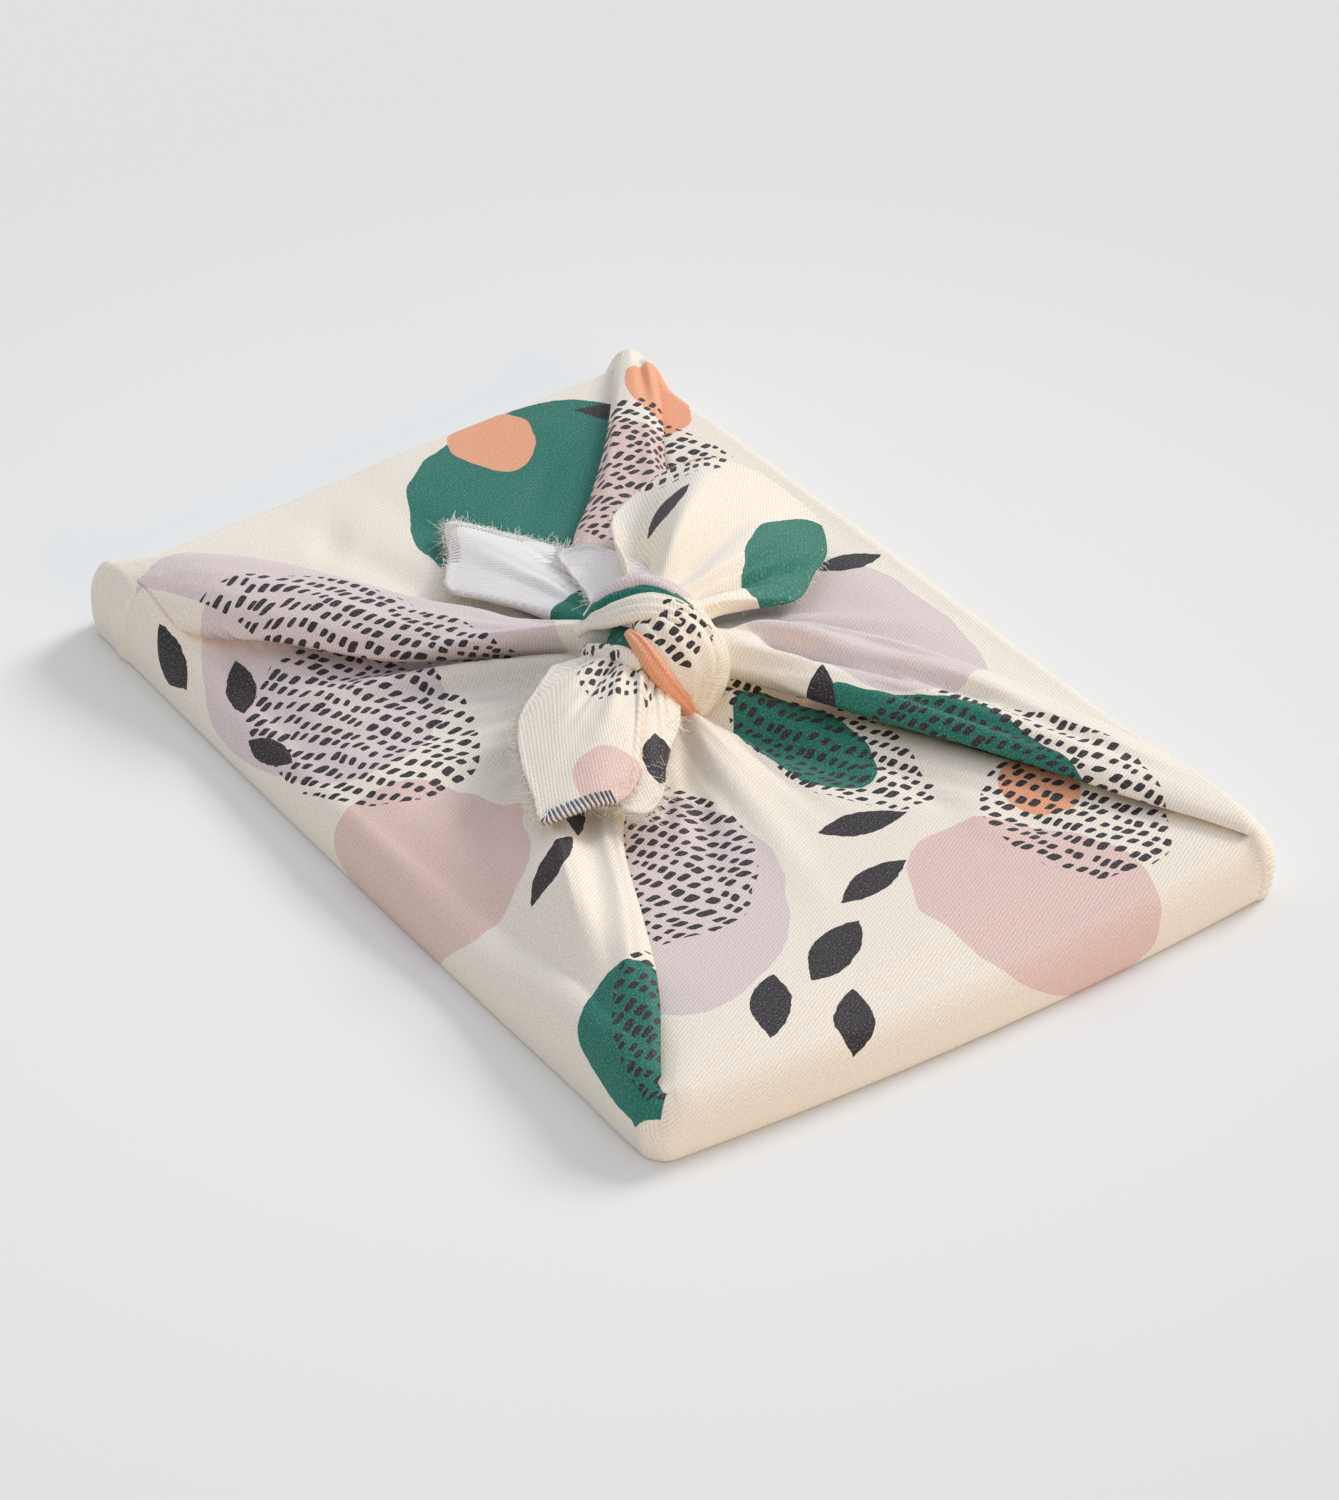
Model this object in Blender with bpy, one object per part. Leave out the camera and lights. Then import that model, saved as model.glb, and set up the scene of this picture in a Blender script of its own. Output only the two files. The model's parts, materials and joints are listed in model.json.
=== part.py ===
"""Furoshiki wrap: a flat parcel in one square of cloth whose four corners are knotted on top.

The wrap rests on z = 0 with its origin under its middle. X runs along its long side, Y along its short side.
Sizes are in millimetres and become metres when a mesh is made. The cloth is one piece, so it is one solid.
"""

import math

import bmesh
import bpy
import numpy as np

MM = 0.001

# Moves the whole wrap so that the middle of its outline is over the origin.
SETTLE = (1.11, -1.43)

# The parcel in its cloth.
LENGTH = 270.0
WIDTH = 184.0
HEIGHT = 18.0
CORNER_RADIUS = 5.0  # in plan
RIM_RADIUS = 4.0  # along the top edge
FOOT_RADIUS = 1.2  # along the floor
WALL_BULGE = 1.2

# A wall goes from the rim to the foot on a curve through these shares of the way out and of the way down.
OUT_CONTROLS = (0.0, 0.5, 0.92, 1.0)
DOWN_CONTROLS = (0.0, 0.0, 0.28, 1.0)

# How far the middle of each side stands out, anticlockwise from the near long side.
SIDE_BOWS = (1.5, 4.5, 4.5, 4.5)

# How far each side's top edge stands in from its foot, and how far it is below the flat top. Both are read at
# five places along the side, anticlockwise from the near long side.
ALONG_SIDE = (-1.0, -0.5, 0.0, 0.5, 1.0)
SIDE_LEANS = (
    (0.5, 6.0, 3.5, 8.0, 3.0),
    (3.0, 2.5, 3.0, 2.5, 1.0),
    (1.0, 2.5, 3.0, 2.5, 1.0),
    (1.0, 3.0, 3.5, 3.0, 0.5),
)
SIDE_DROPS = (
    (0.0, 5.0, 3.0, 6.0, 2.5),
    (2.0, 2.0, 2.5, 2.0, 1.0),
    (0.5, 1.5, 2.0, 1.5, 0.5),
    (0.5, 1.5, 2.0, 2.0, 0.0),
)
LEAN_ROOMS = (60.0, 54.0, 60.0, 54.0)  # how far in the lean of each side fades out
DROP_WIDTH = 22.0

# How far each corner stands off its place on a true rectangle, anticlockwise from the left one: x, then y.
CORNER_SHIFTS = ((0.0, -1.0), (-0.5, -1.5), (4.0, 2.5), (-7.0, -0.5))

# The top is drawn up to the knot like a low tent.
TENT_RISE = 6.5
TENT_REACH = 34.0

# A gathered arm of cloth runs from each corner to the knot. Each row is one place along it.
# from_knot: distance from the knot. middle: sideways shift. half: half its width. rise: height on the panel.
# tuck_before, tuck_after: how deep the cloth turns under itself on each side, 0 where it runs into the panel.
# "Before" is the panel met before the arm, going anticlockwise, and minus sideways. "After" is the next one.
ARM_COLUMNS = ("from_knot", "middle", "half", "rise", "tuck_before", "tuck_after")
LEFT_ARM = (
    (8, -2, 7, 12, 0, 0),
    (25, -3, 6, 12, 2, 2),
    (45, -1.5, 9.5, 11, 3, 4),
    (70, 3, 14, 11, 4, 6),
    (100, 4.5, 17.5, 11.5, 4, 7),
    (125, 5, 17, 11, 3, 6),
    (146, 2, 11, 8, 1, 3),
    (160, 0.5, 6, 4.5, 0, 2),
    (170, 0, 4, 2, 0, 1),
)
NEAR_ARM = (
    (8, -4, 8, 8, 0, 0),
    (30, -14, 12, 9, 0, 3),
    (63, -24, 15, 10, 0, 5),
    (100, -22, 15, 10, 0, 5),
    (130, -15, 12, 7, 0, 4),
    (152, -8, 7, 4.5, 0, 3),
    (166, -3, 4, 2.5, 0, 1.5),
)
RIGHT_ARM = (
    (8, 9, 8.5, 11, 0, 0),
    (20, 16, 11, 13, 4, 1),
    (45, 21, 16.5, 12.5, 7, 1),
    (75, 21, 17.5, 10.5, 7, 1),
    (105, 16.5, 14.5, 8, 5, 1),
    (130, 11.5, 12.5, 6, 3.5, 0.5),
    (150, 5.5, 8, 4.5, 3, 0),
    (166, 1, 4, 2.5, 1.5, 0),
)
FAR_ARM = (
    (8, 6, 8, 10, 0, 0),
    (35, 9, 7, 10, 1.5, 3),
    (65, 7, 14, 9, 2.5, 4),
    (82, 5, 12, 8.5, 3, 4),
    (110, 2.5, 9, 8, 2.5, 4),
    (130, 1, 8, 7, 2, 3),
    (150, 0, 6.5, 7, 1, 2.5),
    (166, -1, 4.5, 5, 0.5, 1),
)

# An arm laps over the panel after it (1) or before it (-1). The lap goes on down the wall as a small step.
LAP_SIDES = (1, 1, -1, 1)
LAP_STEP = 1.5

# Creases that run along an arm. arm: its place in ARMS. start, end: along it. at_start, at_end: sideways.
# width: across. height: minus is a trough. lean: where in the width the crest or the bottom is, from 0 to 1.
ARM_FADE_IN = 25.0
ARM_CREASE_COLUMNS = ("arm", "start", "end", "at_start", "at_end", "width", "height", "lean")
ARM_CREASES = (
    (0, 20, 110, -4, -2, 9, -1.2, 0.5),
    (0, 60, 160, 8, 4, 8, 0.8, 0.5),
    (1, 30, 160, -19, -17, 15, -4.2, 0.5),
    (2, 6, 120, 16, 23, 12, -3.6, 0.5),
    (2, 60, 160, 22, 8, 9, -2.0, 0.5),
    (3, 60, 160, -8, -2, 7, -1.8, 0.5),
    (3, 30, 130, 7, 3, 7, -1.4, 0.4),
)

# One side of an arm's section, from its crest to the panel. along: place in the unrolled cloth, in halves.
# out: sideways, in half widths. tucked: share of the tuck that pulls it back. lift: share of the rise.
SECTION_COLUMNS = ("along", "out", "tucked", "lift")
SECTION = (
    (0.00, 0.00, 0.00, 1.00),
    (0.45, 0.52, 0.00, 0.94),
    (0.72, 0.84, 0.00, 0.74),
    (0.88, 1.00, 0.00, 0.44),
    (0.99, 0.98, 0.40, 0.22),
    (1.10, 0.96, 1.00, 0.12),
    (1.20, 1.00, 0.95, 0.02),
    (1.40, 1.20, 0.20, 0.00),
    (1.60, 1.60, 0.00, 0.00),
)
SECTION_END = 1.60
FULL_TUCK = 1.5  # a tuck this deep is a real fold, a smaller one is partly a slope

# Soft creases that fan out from the knot over the panels. toward_in, toward_out: degrees from +X at each end.
# width and height are in millimetres, and a minus height is a trough. lean is as above.
CREASE_COLUMNS = ("toward_in", "toward_out", "start", "end", "width", "height", "lean")
CREASES = (
    (-140, -122, 12, 112, 13, 6.5, 0.6),
    (-112, -104, 30, 105, 14, -1.8, 0.5),
    (-93, -86, 18, 104, 17, -4.6, 0.55),
    (-72, -66, 20, 96, 15, 2.4, 0.5),
    (-20, -24, 16, 92, 13, -3.0, 0.5),
    (-6, -10, 25, 120, 14, 1.6, 0.5),
    (24, 18, 8, 90, 17, -5.2, 0.6),
    (29, 29, 50, 125, 10, -1.8, 0.6),
    (104, 78, 10, 96, 15, 6.0, 0.5),
    (62, 60, 30, 100, 12, -1.8, 0.5),
    (118, 104, 40, 110, 14, -2.0, 0.5),
    (-163, -166, 60, 150, 19, -1.6, 0.5),
    (-178, -176, 50, 150, 17, -1.6, 0.5),
)
CREASE_FADE_IN = 15.0

# Short dents in the panels: their middle, the way they run in degrees from +X, half length, width and height.
DENT_COLUMNS = ("x", "y", "toward", "half_length", "width", "height")
DENTS = (
    (74, 33, 8, 20, 12, -2.2),
    (98, 48, 22, 16, 9, -1.8),
    (92, 36, 14, 18, 8, 1.2),
    (116, 58, 25, 10, 7, 1.2),
    (36, -20, -38, 16, 12, -2.0),
    (-112, -30, 150, 22, 14, -1.4),
    (-96, 30, 128, 26, 15, -1.2),
    (14, -70, -60, 18, 13, -1.6),
    (-30, -74, -118, 16, 12, -1.2),
    (60, 76, 18, 22, 12, -1.2),
)

# The knot is wound round a core. Each band of it is a flattened roll of cloth along a path.
CORE_CENTRE = (0.0, 0.0, 31.0)
CORE_HALF_SIZES = (15.5, 13.0, 12.5)  # along its long way, across it, up
CORE_TURN = 145.0  # degrees from +X to its long way
BAND_COLUMNS = ("x", "y", "z", "half_width", "half_thick")
MAIN_FOLD = (
    (-10, -3, 41.0, 6.0, 1.8),
    (-0.5, 0, 46.0, 8.0, 2.0),
    (7, 0.5, 45.0, 9.0, 2.2),
    (12, 2, 41.2, 9.5, 2.2),
    (15, 2.7, 36.5, 9.0, 2.2),
    (16, 2.5, 31.0, 7.0, 2.2),
    (15, 1.5, 25.5, 4.5, 2.0),
    (13, 0, 20.5, 2.5, 1.8),
)
OUTER_FOLD = (
    (2, 8, 42.5, 4.0, 1.6),
    (6.5, 12, 38.5, 5.0, 1.8),
    (10.5, 13, 33.5, 5.5, 2.0),
    (13.5, 11.5, 29.0, 5.0, 2.0),
    (15.5, 8.0, 25.0, 4.0, 1.8),
    (15.0, 3.5, 20.5, 2.5, 1.6),
)
TOP_STRIP = (
    (-16, -13.5, 35.0, 1.8, 1.4),
    (-12.5, -9.5, 39.5, 3.5, 1.6),
    (-7, -7.5, 44.0, 4.8, 1.8),
    (-3, -4.5, 46.8, 5.0, 2.0),
    (0.5, -0.5, 47.6, 5.2, 2.0),
    (4.5, 3.5, 46.5, 5.0, 2.0),
    (8, 6.5, 43.5, 4.5, 1.8),
    (10, 10, 38.5, 3.5, 1.6),
)
GREEN_PLEAT = (
    (-16, -12, 35.0, 2.0, 1.4),
    (-15.5, -6.5, 40.5, 3.0, 1.8),
    (-12.5, -1, 43.8, 3.5, 2.0),
    (-8, 3.5, 45.4, 3.5, 2.0),
    (-3, 6, 45.6, 3.5, 2.0),
    (3, 8.5, 43.5, 3.0, 1.8),
)
COLLAR = (
    (-18, -8, 36.0, 3.0, 1.8),
    (-17, -4, 41.0, 4.0, 2.2),
    (-14.5, 1.5, 44.8, 4.5, 2.4),
    (-11, 6, 45.4, 4.5, 2.4),
    (-5, 9.5, 44.0, 4.5, 2.4),
    (1, 12.5, 40.5, 4.0, 2.0),
    (4, 15, 34.0, 3.5, 2.0),
)
INNER_PLEAT = (
    (2, -9.5, 43.5, 1.4, 1.4),
    (7, -9.8, 43.0, 2.3, 1.7),
    (11.5, -9.4, 40.2, 2.7, 1.9),
    (15.2, -7.8, 36.0, 2.5, 1.8),
    (17, -4.6, 30.8, 2.2, 1.7),
    (16.5, -1, 24.5, 1.8, 1.6),
    (15.5, 0.5, 19.5, 1.2, 1.4),
)
NECK_ROLL = (
    (-14, -12, 27.0, 2.0, 1.6),
    (-9.5, -14, 32.5, 2.2, 1.8),
    (-1, -14.6, 37.5, 2.4, 1.8),
    (5, -13.4, 39.6, 2.4, 1.8),
    (10, -11.4, 39.0, 2.0, 1.6),
)
BAND_DROOP = 0.8  # how closely a wide band bends round the core at its edges, 1 for fully
BANDS = (MAIN_FOLD, OUTER_FOLD, TOP_STRIP, GREEN_PLEAT, COLLAR, INNER_PLEAT, NECK_ROLL)

# The free ends spread from the knot like leaves: a short neck, and the rim from one side of it to the other.
END_THICKNESS = 2.0
POINT_COLUMNS = ("x", "y", "z")
FRONT_NECK = ((-6, -12, 34), (1, -12.5, 37.5), (7, -11, 38), (12, -8, 36))
FRONT_RIM = (
    (-9, -26, 33),
    (-1, -37, 34),
    (6, -46, 34),
    (20, -55, 33),
    (34, -60.5, 32),
    (43, -62.5, 31),
    (47, -57, 32.5),
    (49, -50, 33),
    (49.5, -44, 31.5),
    (43, -35, 31),
    (31, -26, 31.5),
    (23, -19, 32.5),
    (17, -13, 34),
)
UNDER_NECK = ((5, -10, 33), (8, -8, 34), (12, -6, 34), (13, -4, 31))
UNDER_RIM = (
    (22, -38, 30),
    (40, -50, 29.5),
    (46, -44, 29),
    (51, -39, 28.5),
    (49, -33, 28.5),
    (40, -25, 29.5),
    (33, -18.5, 29),
    (27, -12, 29),
    (18, -5, 28),
)
BACK_NECK = ((-16, 4, 39), (-10, 6, 42), (-3, 10, 41), (1, 12, 37))
BACK_RIM = (
    (-31, 10, 40),
    (-42, 16, 39),
    (-51, 22, 38),
    (-57, 36, 39),
    (-56, 48, 42),
    (-53, 53, 43),
    (-47, 62, 41),
    (-36, 70, 34),
    (-28, 74, 28),
    (-21, 71, 25.5),
    (-12, 60, 25.5),
    (-4, 48, 27),
    (-4, 36, 30),
    (-3, 24, 33),
)
LEFT_NECK = ((-22, -8, 29), (-22, -2, 32), (-20, 2, 34), (-18, 6, 34))
LEFT_RIM = (
    (-34, -8, 26),
    (-49, -10, 23),
    (-58, -16, 22),
    (-66, -22, 21.5),
    (-80, -12, 21),
    (-94, -2, 21),
    (-89, 7, 21),
    (-79, 13, 22),
    (-67, 14, 23),
    (-54, 16, 26),
    (-33, 17, 31),
)
FLAP_NECK = ((-20, 3, 33), (-17, 7, 36), (-15, 10, 37), (-14, 14, 36))
FLAP_RIM = (
    (-24, -2, 31),
    (-32, 1, 31),
    (-45, 4, 30),
    (-51, 8, 29),
    (-47, 14, 31),
    (-36, 18, 33),
    (-22, 22, 34),
)
# neck, rim, how far the middle stands up
ENDS = (
    (FRONT_NECK, FRONT_RIM, 3.0),
    (UNDER_NECK, UNDER_RIM, 0.5),
    (BACK_NECK, BACK_RIM, 3.0),
    (LEFT_NECK, LEFT_RIM, 1.0),
    (FLAP_NECK, FLAP_RIM, 0.5),
)

# Mesh steps.
MOST_OF_SIDE = 0.45  # the share of a side that the close points of one arm may take
FIT_STEPS = 4  # rounds of bringing those points onto the folds
MOST_FIT = 6.0
ARM_STEPS = 16
PANEL_STEPS = 10
RINGS = 23
FIRST_RING = 0.08  # share of the way out, as are all rings
WALL_STEPS = 5
FOOT_STEPS = 2
BAND_SIDES = 10
BAND_RINGS = 11
CORE_RINGS = 7
CORE_SIDES = 20
CORE_CAP = 70.0  # latitude of the core's first and last ring
END_STEPS_OUT = 5
END_STEPS_ROUND = 14


def smooth_step(value, low, high):
    share = np.clip((value - low) / (high - low), 0.0, 1.0)
    return share * share * (3.0 - 2.0 * share)


def curve_through(keys, values, at):
    """A smooth curve through the values at the keys, read at other places."""
    keys = np.asarray(keys, float)
    values = np.asarray(values, float)
    slopes = np.gradient(values, keys)
    left = np.clip(np.searchsorted(keys, at) - 1, 0, len(keys) - 2)
    span = keys[left + 1] - keys[left]
    f = np.clip((at - keys[left]) / span, 0.0, 1.0)
    from_left = values[left] * (1 + 2 * f) * (1 - f) ** 2 + slopes[left] * span * f * (1 - f) ** 2
    from_right = values[left + 1] * f * f * (3 - 2 * f) - slopes[left + 1] * span * f * f * (1 - f)
    return from_left + from_right


def column(rows, names, name):
    return [row[names.index(name)] for row in rows]


class Arm:
    """One gathered arm: where it runs, and how it lifts and folds the cloth around it."""

    def __init__(self, corner_x, corner_y, rows):
        self.reach = math.hypot(LENGTH, WIDTH) / 2
        self.along = np.array([corner_x * LENGTH, corner_y * WIDTH]) / (2 * self.reach)
        self.across = np.array([-self.along[1], self.along[0]])
        self.rows = rows
        self.stations = column(rows, ARM_COLUMNS, "from_knot")

    def read(self, name, s):
        return curve_through(self.stations, column(self.rows, ARM_COLUMNS, name), s)

    def half_section(self, s, turn, tuck_name):
        """Sideways distance from the middle, and share of the rise, on one side of the crest."""
        tuck = np.maximum(self.read(tuck_name, s), 0.0)
        keys = column(SECTION, SECTION_COLUMNS, "along")
        curves = [column(SECTION, SECTION_COLUMNS, name) for name in SECTION_COLUMNS[1:]]
        out, tucked, lift = (curve_through(keys, curve, turn) for curve in curves)
        folded = smooth_step(tuck, 0.0, FULL_TUCK)
        slope = 0.5 + 0.5 * np.cos(math.pi * turn / SECTION_END)
        sideways = self.read("half", s) * (folded * out + (1 - folded) * turn) - tuck * tucked
        return sideways, folded * lift + (1 - folded) * slope

    def place(self, x, y):
        """How far a point is along the arm and sideways from it."""
        return x * self.along[0] + y * self.along[1], x * self.across[0] + y * self.across[1]

    def shape(self, x, y):
        """How far the arm shifts a point of the flat top sideways, and how far it lifts it."""
        s, t = self.place(x, y)
        place = np.clip(s, self.stations[0], self.stations[-1])
        middle = self.read("middle", place)
        turn = (t - middle) / self.read("half", place)
        size = np.minimum(np.abs(turn), SECTION_END)
        out_before, lift_before = self.half_section(place, size, "tuck_before")
        out_after, lift_after = self.half_section(place, size, "tuck_after")
        sideways = np.where(turn < 0, middle - out_before, middle + out_after)
        lift = np.where(turn < 0, lift_before, lift_after) * self.read("rise", place)
        inside = (np.abs(turn) < SECTION_END) * smooth_step(s, 0.0, self.stations[0])
        return (sideways - t) * inside, lift * inside


# Anticlockwise from the left corner, as are the sides that follow them.
ARMS = (Arm(-1, -1, LEFT_ARM), Arm(1, -1, NEAR_ARM), Arm(1, 1, RIGHT_ARM), Arm(-1, 1, FAR_ARM))
SIDE_WAYS = ((1, 0), (0, 1), (-1, 0), (0, -1))
SIDE_LENGTHS = (LENGTH, WIDTH, LENGTH, WIDTH)


def fold_line(aside, width, lean):
    """The height of a crease 1 high, at a distance from its middle: two soft slopes that meet at its lean."""
    share = aside / width + 0.5
    return smooth_step(share, 0.0, lean) * (1 - smooth_step(share, lean, 1.0))


def fading(distance, start, end, fade):
    """1 along a crease, and 0 past its ends."""
    return smooth_step(distance, start, start + fade) * (1 - smooth_step(distance, start + fade, end))


def side_places(x, y):
    """For each side in turn: the place along it from -1 to 1, and the distance in from it."""
    across, up = np.clip(x / (LENGTH / 2), -1, 1), np.clip(y / (WIDTH / 2), -1, 1)
    places = (across, up, -across, -up)
    inward = (WIDTH / 2 + y, LENGTH / 2 - x, WIDTH / 2 - y, LENGTH / 2 + x)
    return list(zip(places, inward))


def edge_drop(x, y):
    """The top curves down a little towards its edges."""
    drops = [
        curve_through(ALONG_SIDE, values, place) * (1 - smooth_step(inward, 0.0, DROP_WIDTH)) ** 2
        for values, (place, inward) in zip(SIDE_DROPS, side_places(x, y))
    ]
    return np.maximum.reduce(drops)


def leaned(x, y, amount):
    """Points of the plan moved in from each side's foot, as its wall leans."""
    moves = [
        amount * curve_through(ALONG_SIDE, values, place) * (1 - smooth_step(inward, 0.0, room))
        for values, (place, inward), room in zip(SIDE_LEANS, side_places(x, y), LEAN_ROOMS)
    ]
    return x - moves[1] + moves[3], y + moves[0] - moves[2]


def panel_height(x, y):
    """The cloth between the arms: flat, drawn up near the knot, creased and dented."""
    r = np.hypot(x, y)
    angle = np.degrees(np.arctan2(y, x))
    z = HEIGHT + TENT_RISE * np.exp(-((r / TENT_REACH) ** 2)) - edge_drop(x, y)
    for toward_in, toward_out, start, end, width, height, lean in CREASES:
        toward = toward_in + (toward_out - toward_in) * smooth_step(r, start, end)
        off = (angle - toward + 180.0) % 360.0 - 180.0
        across = fold_line(np.radians(off) * r, width, lean) * (np.abs(off) < 90)
        z = z + height * across * fading(r, start * 0.3, end, CREASE_FADE_IN + start * 0.7)
    for middle_x, middle_y, toward, half_length, width, height in DENTS:
        way = math.radians(toward)
        along = (x - middle_x) * math.cos(way) + (y - middle_y) * math.sin(way)
        aside = (y - middle_y) * math.cos(way) - (x - middle_x) * math.sin(way)
        z = z + height * fold_line(aside, width, 0.5) * fold_line(along, 2 * half_length, 0.5)
    return z


def arm_creases(x, y):
    """The folds that run along the arms."""
    z = np.zeros_like(x)
    for k, start, end, at_start, at_end, width, height, lean in ARM_CREASES:
        s, t = ARMS[k].place(x, y)
        at = at_start + (at_end - at_start) * smooth_step(s, start, end)
        z = z + height * fold_line(t - at, width, lean) * fading(s, start, end, ARM_FADE_IN)
    return z


def top_surface(x, y):
    """The finished top for points of a flat one: the panels, with the arms' folds on them."""
    shifts = [arm.shape(x, y) for arm in ARMS]
    new_x = x + sum(shift * arm.across[0] for arm, (shift, lift) in zip(ARMS, shifts))
    new_y = y + sum(shift * arm.across[1] for arm, (shift, lift) in zip(ARMS, shifts))
    lift = np.maximum.reduce([lift for shift, lift in shifts])
    height = panel_height(new_x, new_y) + lift + arm_creases(new_x, new_y)
    return (*leaned(new_x, new_y, 1.0), height)


def outline_point(share_x, share_y, grow):
    """The plan outline at a place on a sharp rectangle from -1 to 1 each way, grown outward."""
    core_x = np.clip(share_x * LENGTH / 2, CORNER_RADIUS - LENGTH / 2, LENGTH / 2 - CORNER_RADIUS)
    core_y = np.clip(share_y * WIDTH / 2, CORNER_RADIUS - WIDTH / 2, WIDTH / 2 - CORNER_RADIUS)
    off_x = share_x * LENGTH / 2 - core_x
    off_y = share_y * WIDTH / 2 - core_y
    size = np.hypot(off_x, off_y)
    out_x, out_y = off_x / size, off_y / size
    long_bow = np.where(share_y < 0, SIDE_BOWS[0], SIDE_BOWS[2])
    short_bow = np.where(share_x < 0, SIDE_BOWS[3], SIDE_BOWS[1])
    bow = short_bow * (1 - share_y**2) * np.abs(out_x) + long_bow * (1 - share_x**2) * np.abs(out_y)
    out = CORNER_RADIUS + grow + bow
    return core_x + out_x * out, core_y + out_y * out


def skewed(points):
    """Points of the wrap moved as its corners are off a true rectangle. The middle stays where it is."""
    share_x = np.clip(points[:, 0] / (LENGTH / 2), -1, 1)
    share_y = np.clip(points[:, 1] / (WIDTH / 2), -1, 1)
    moved = points.copy()
    for arm, shift in zip(ARMS, CORNER_SHIFTS):
        sign_x, sign_y = np.sign(arm.along)
        weight = (1 + sign_x * share_x) * (1 + sign_y * share_y) / 4
        weight = weight * np.maximum(np.abs(share_x), np.abs(share_y)) ** 2
        moved[:, 0] += weight * shift[0]
        moved[:, 1] += weight * shift[1]
    return moved


def section_turns():
    """Places across an arm, in half widths, that fall on the folds of its section."""
    half = column(SECTION, SECTION_COLUMNS, "along")
    keys = [-place for place in half[:0:-1]] + half
    return np.interp(np.linspace(0, len(keys) - 1, ARM_STEPS + 1), np.arange(len(keys)), keys)


def arm_strip(k, rho):
    """The points of one ring that cross arm k, on the sharp rectangle in millimetres."""
    arm = ARMS[k]
    turns = section_turns()
    before, after = np.array(SIDE_WAYS[k - 1]), np.array(SIDE_WAYS[k])
    room_after, room_before = MOST_OF_SIDE * SIDE_LENGTHS[k], MOST_OF_SIDE * SIDE_LENGTHS[k - 1]
    s = max(rho * arm.reach, arm.stations[0])
    wanted = arm.read("middle", s) + arm.read("half", s) * turns
    corrected = wanted
    for _ in range(FIT_STEPS):
        pull_after = np.maximum(corrected, 0) / (rho * room_after * (after @ arm.across))
        pull_before = np.minimum(corrected, 0) / (rho * room_before * (before @ arm.across))
        along_after, along_before = room_after * np.tanh(pull_after), room_before * np.tanh(pull_before)
        corner = np.sign(arm.along) * (LENGTH / 2, WIDTH / 2)
        strip = corner + along_after[:, None] * after + along_before[:, None] * before
        flat = outline_point(strip[:, 0] * 2 / LENGTH, strip[:, 1] * 2 / WIDTH, -RIM_RADIUS)
        at, sideways = arm.place(flat[0] * rho, flat[1] * rho)
        at = np.clip(at, arm.stations[0], arm.stations[-1])
        missing = arm.read("middle", at) + arm.read("half", at) * turns - sideways
        corrected = np.clip(corrected + missing, wanted - MOST_FIT, wanted + MOST_FIT)
    return strip


def ring_shares(rho):
    """Places round the sharp rectangle for the ring at a share rho of the way out, close across the arms."""
    strips = [arm_strip(k, rho) for k in range(len(ARMS))]
    rings = []
    between = np.linspace(0, 1, PANEL_STEPS + 1)[1:-1, None]
    for k, strip in enumerate(strips):
        following = strips[(k + 1) % len(strips)]
        rings.append(strip)
        rings.append(strip[-1] * (1 - between) + following[0] * between)
    ring = np.concatenate(rings) / (LENGTH / 2, WIDTH / 2)
    # A panel that starts before its corner goes round it, not across.
    ring = ring / np.abs(ring).max(axis=1, keepdims=True)
    return ring[:, 0], ring[:, 1]


def bezier(controls, share):
    a, b, c, d = controls
    rest = 1 - share
    return a * rest**3 + 3 * b * rest**2 * share + 3 * c * rest * share**2 + d * share**3


def laps():
    """For each column, how far the lap of its arm stands out on the wall: a step at the fold, then a fade."""
    turns = section_turns()
    out = []
    for side in LAP_SIDES:
        on_arm = (1 - smooth_step(turns * side, 0.98, 1.12)) * smooth_step(turns * side, -SECTION_END, -0.3)
        out += [on_arm, np.zeros(PANEL_STEPS - 1)]
    return LAP_STEP * np.concatenate(out)


def side_ring(share_x, share_y, grow, amount, z):
    return np.stack([*leaned(*outline_point(share_x, share_y, grow), amount), z], axis=1)


def body_rings():
    """Rings of points over the top, round the rim, down the wall and under the foot."""
    rings = []
    for rho in np.linspace(FIRST_RING, 1.0, RINGS):
        share_x, share_y = ring_shares(rho)
        flat_x, flat_y = outline_point(share_x, share_y, -RIM_RADIUS)
        rings.append(np.stack(top_surface(flat_x * rho, flat_y * rho), axis=1))
    rim_z = rings[-1][:, 2]
    for share in np.linspace(0, 1, WALL_STEPS + 1)[1:]:
        out, down = bezier(OUT_CONTROLS, share), bezier(DOWN_CONTROLS, share)
        lap = laps() * out * (1 - 0.6 * down)
        grow = RIM_RADIUS * (out - 1) + WALL_BULGE * math.sin(math.pi * down) + lap
        z = rim_z * (1 - down) + FOOT_RADIUS * down
        rings.append(side_ring(share_x, share_y, grow, 1 - out, z))
    for angle in np.linspace(0, math.pi / 2, FOOT_STEPS + 1)[1:]:
        grow = -FOOT_RADIUS * (1 - math.cos(angle)) + laps() * 0.4 * math.cos(angle)
        z = np.full_like(share_x, FOOT_RADIUS * (1 - math.sin(angle)))
        rings.append(side_ring(share_x, share_y, grow, 0.0, z))
    return [skewed(ring) for ring in rings]


def closed_tube(name, rings, first, last):
    """A closed mesh from rings of points, with a middle point to close each end."""
    count = len(rings[0])
    points = np.concatenate([*rings, [first, last]])
    faces = []
    for i in range(len(rings) - 1):
        for j in range(count):
            a, b = i * count + j, i * count + (j + 1) % count
            faces.append((a, a + count, b + count, b))
    start, end = len(points) - 2, len(points) - 1
    base = (len(rings) - 1) * count
    for j in range(count):
        faces.append((start, j, (j + 1) % count))
        faces.append((end, base + (j + 1) % count, base + j))
    return mesh_object(name, points, faces)


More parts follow.
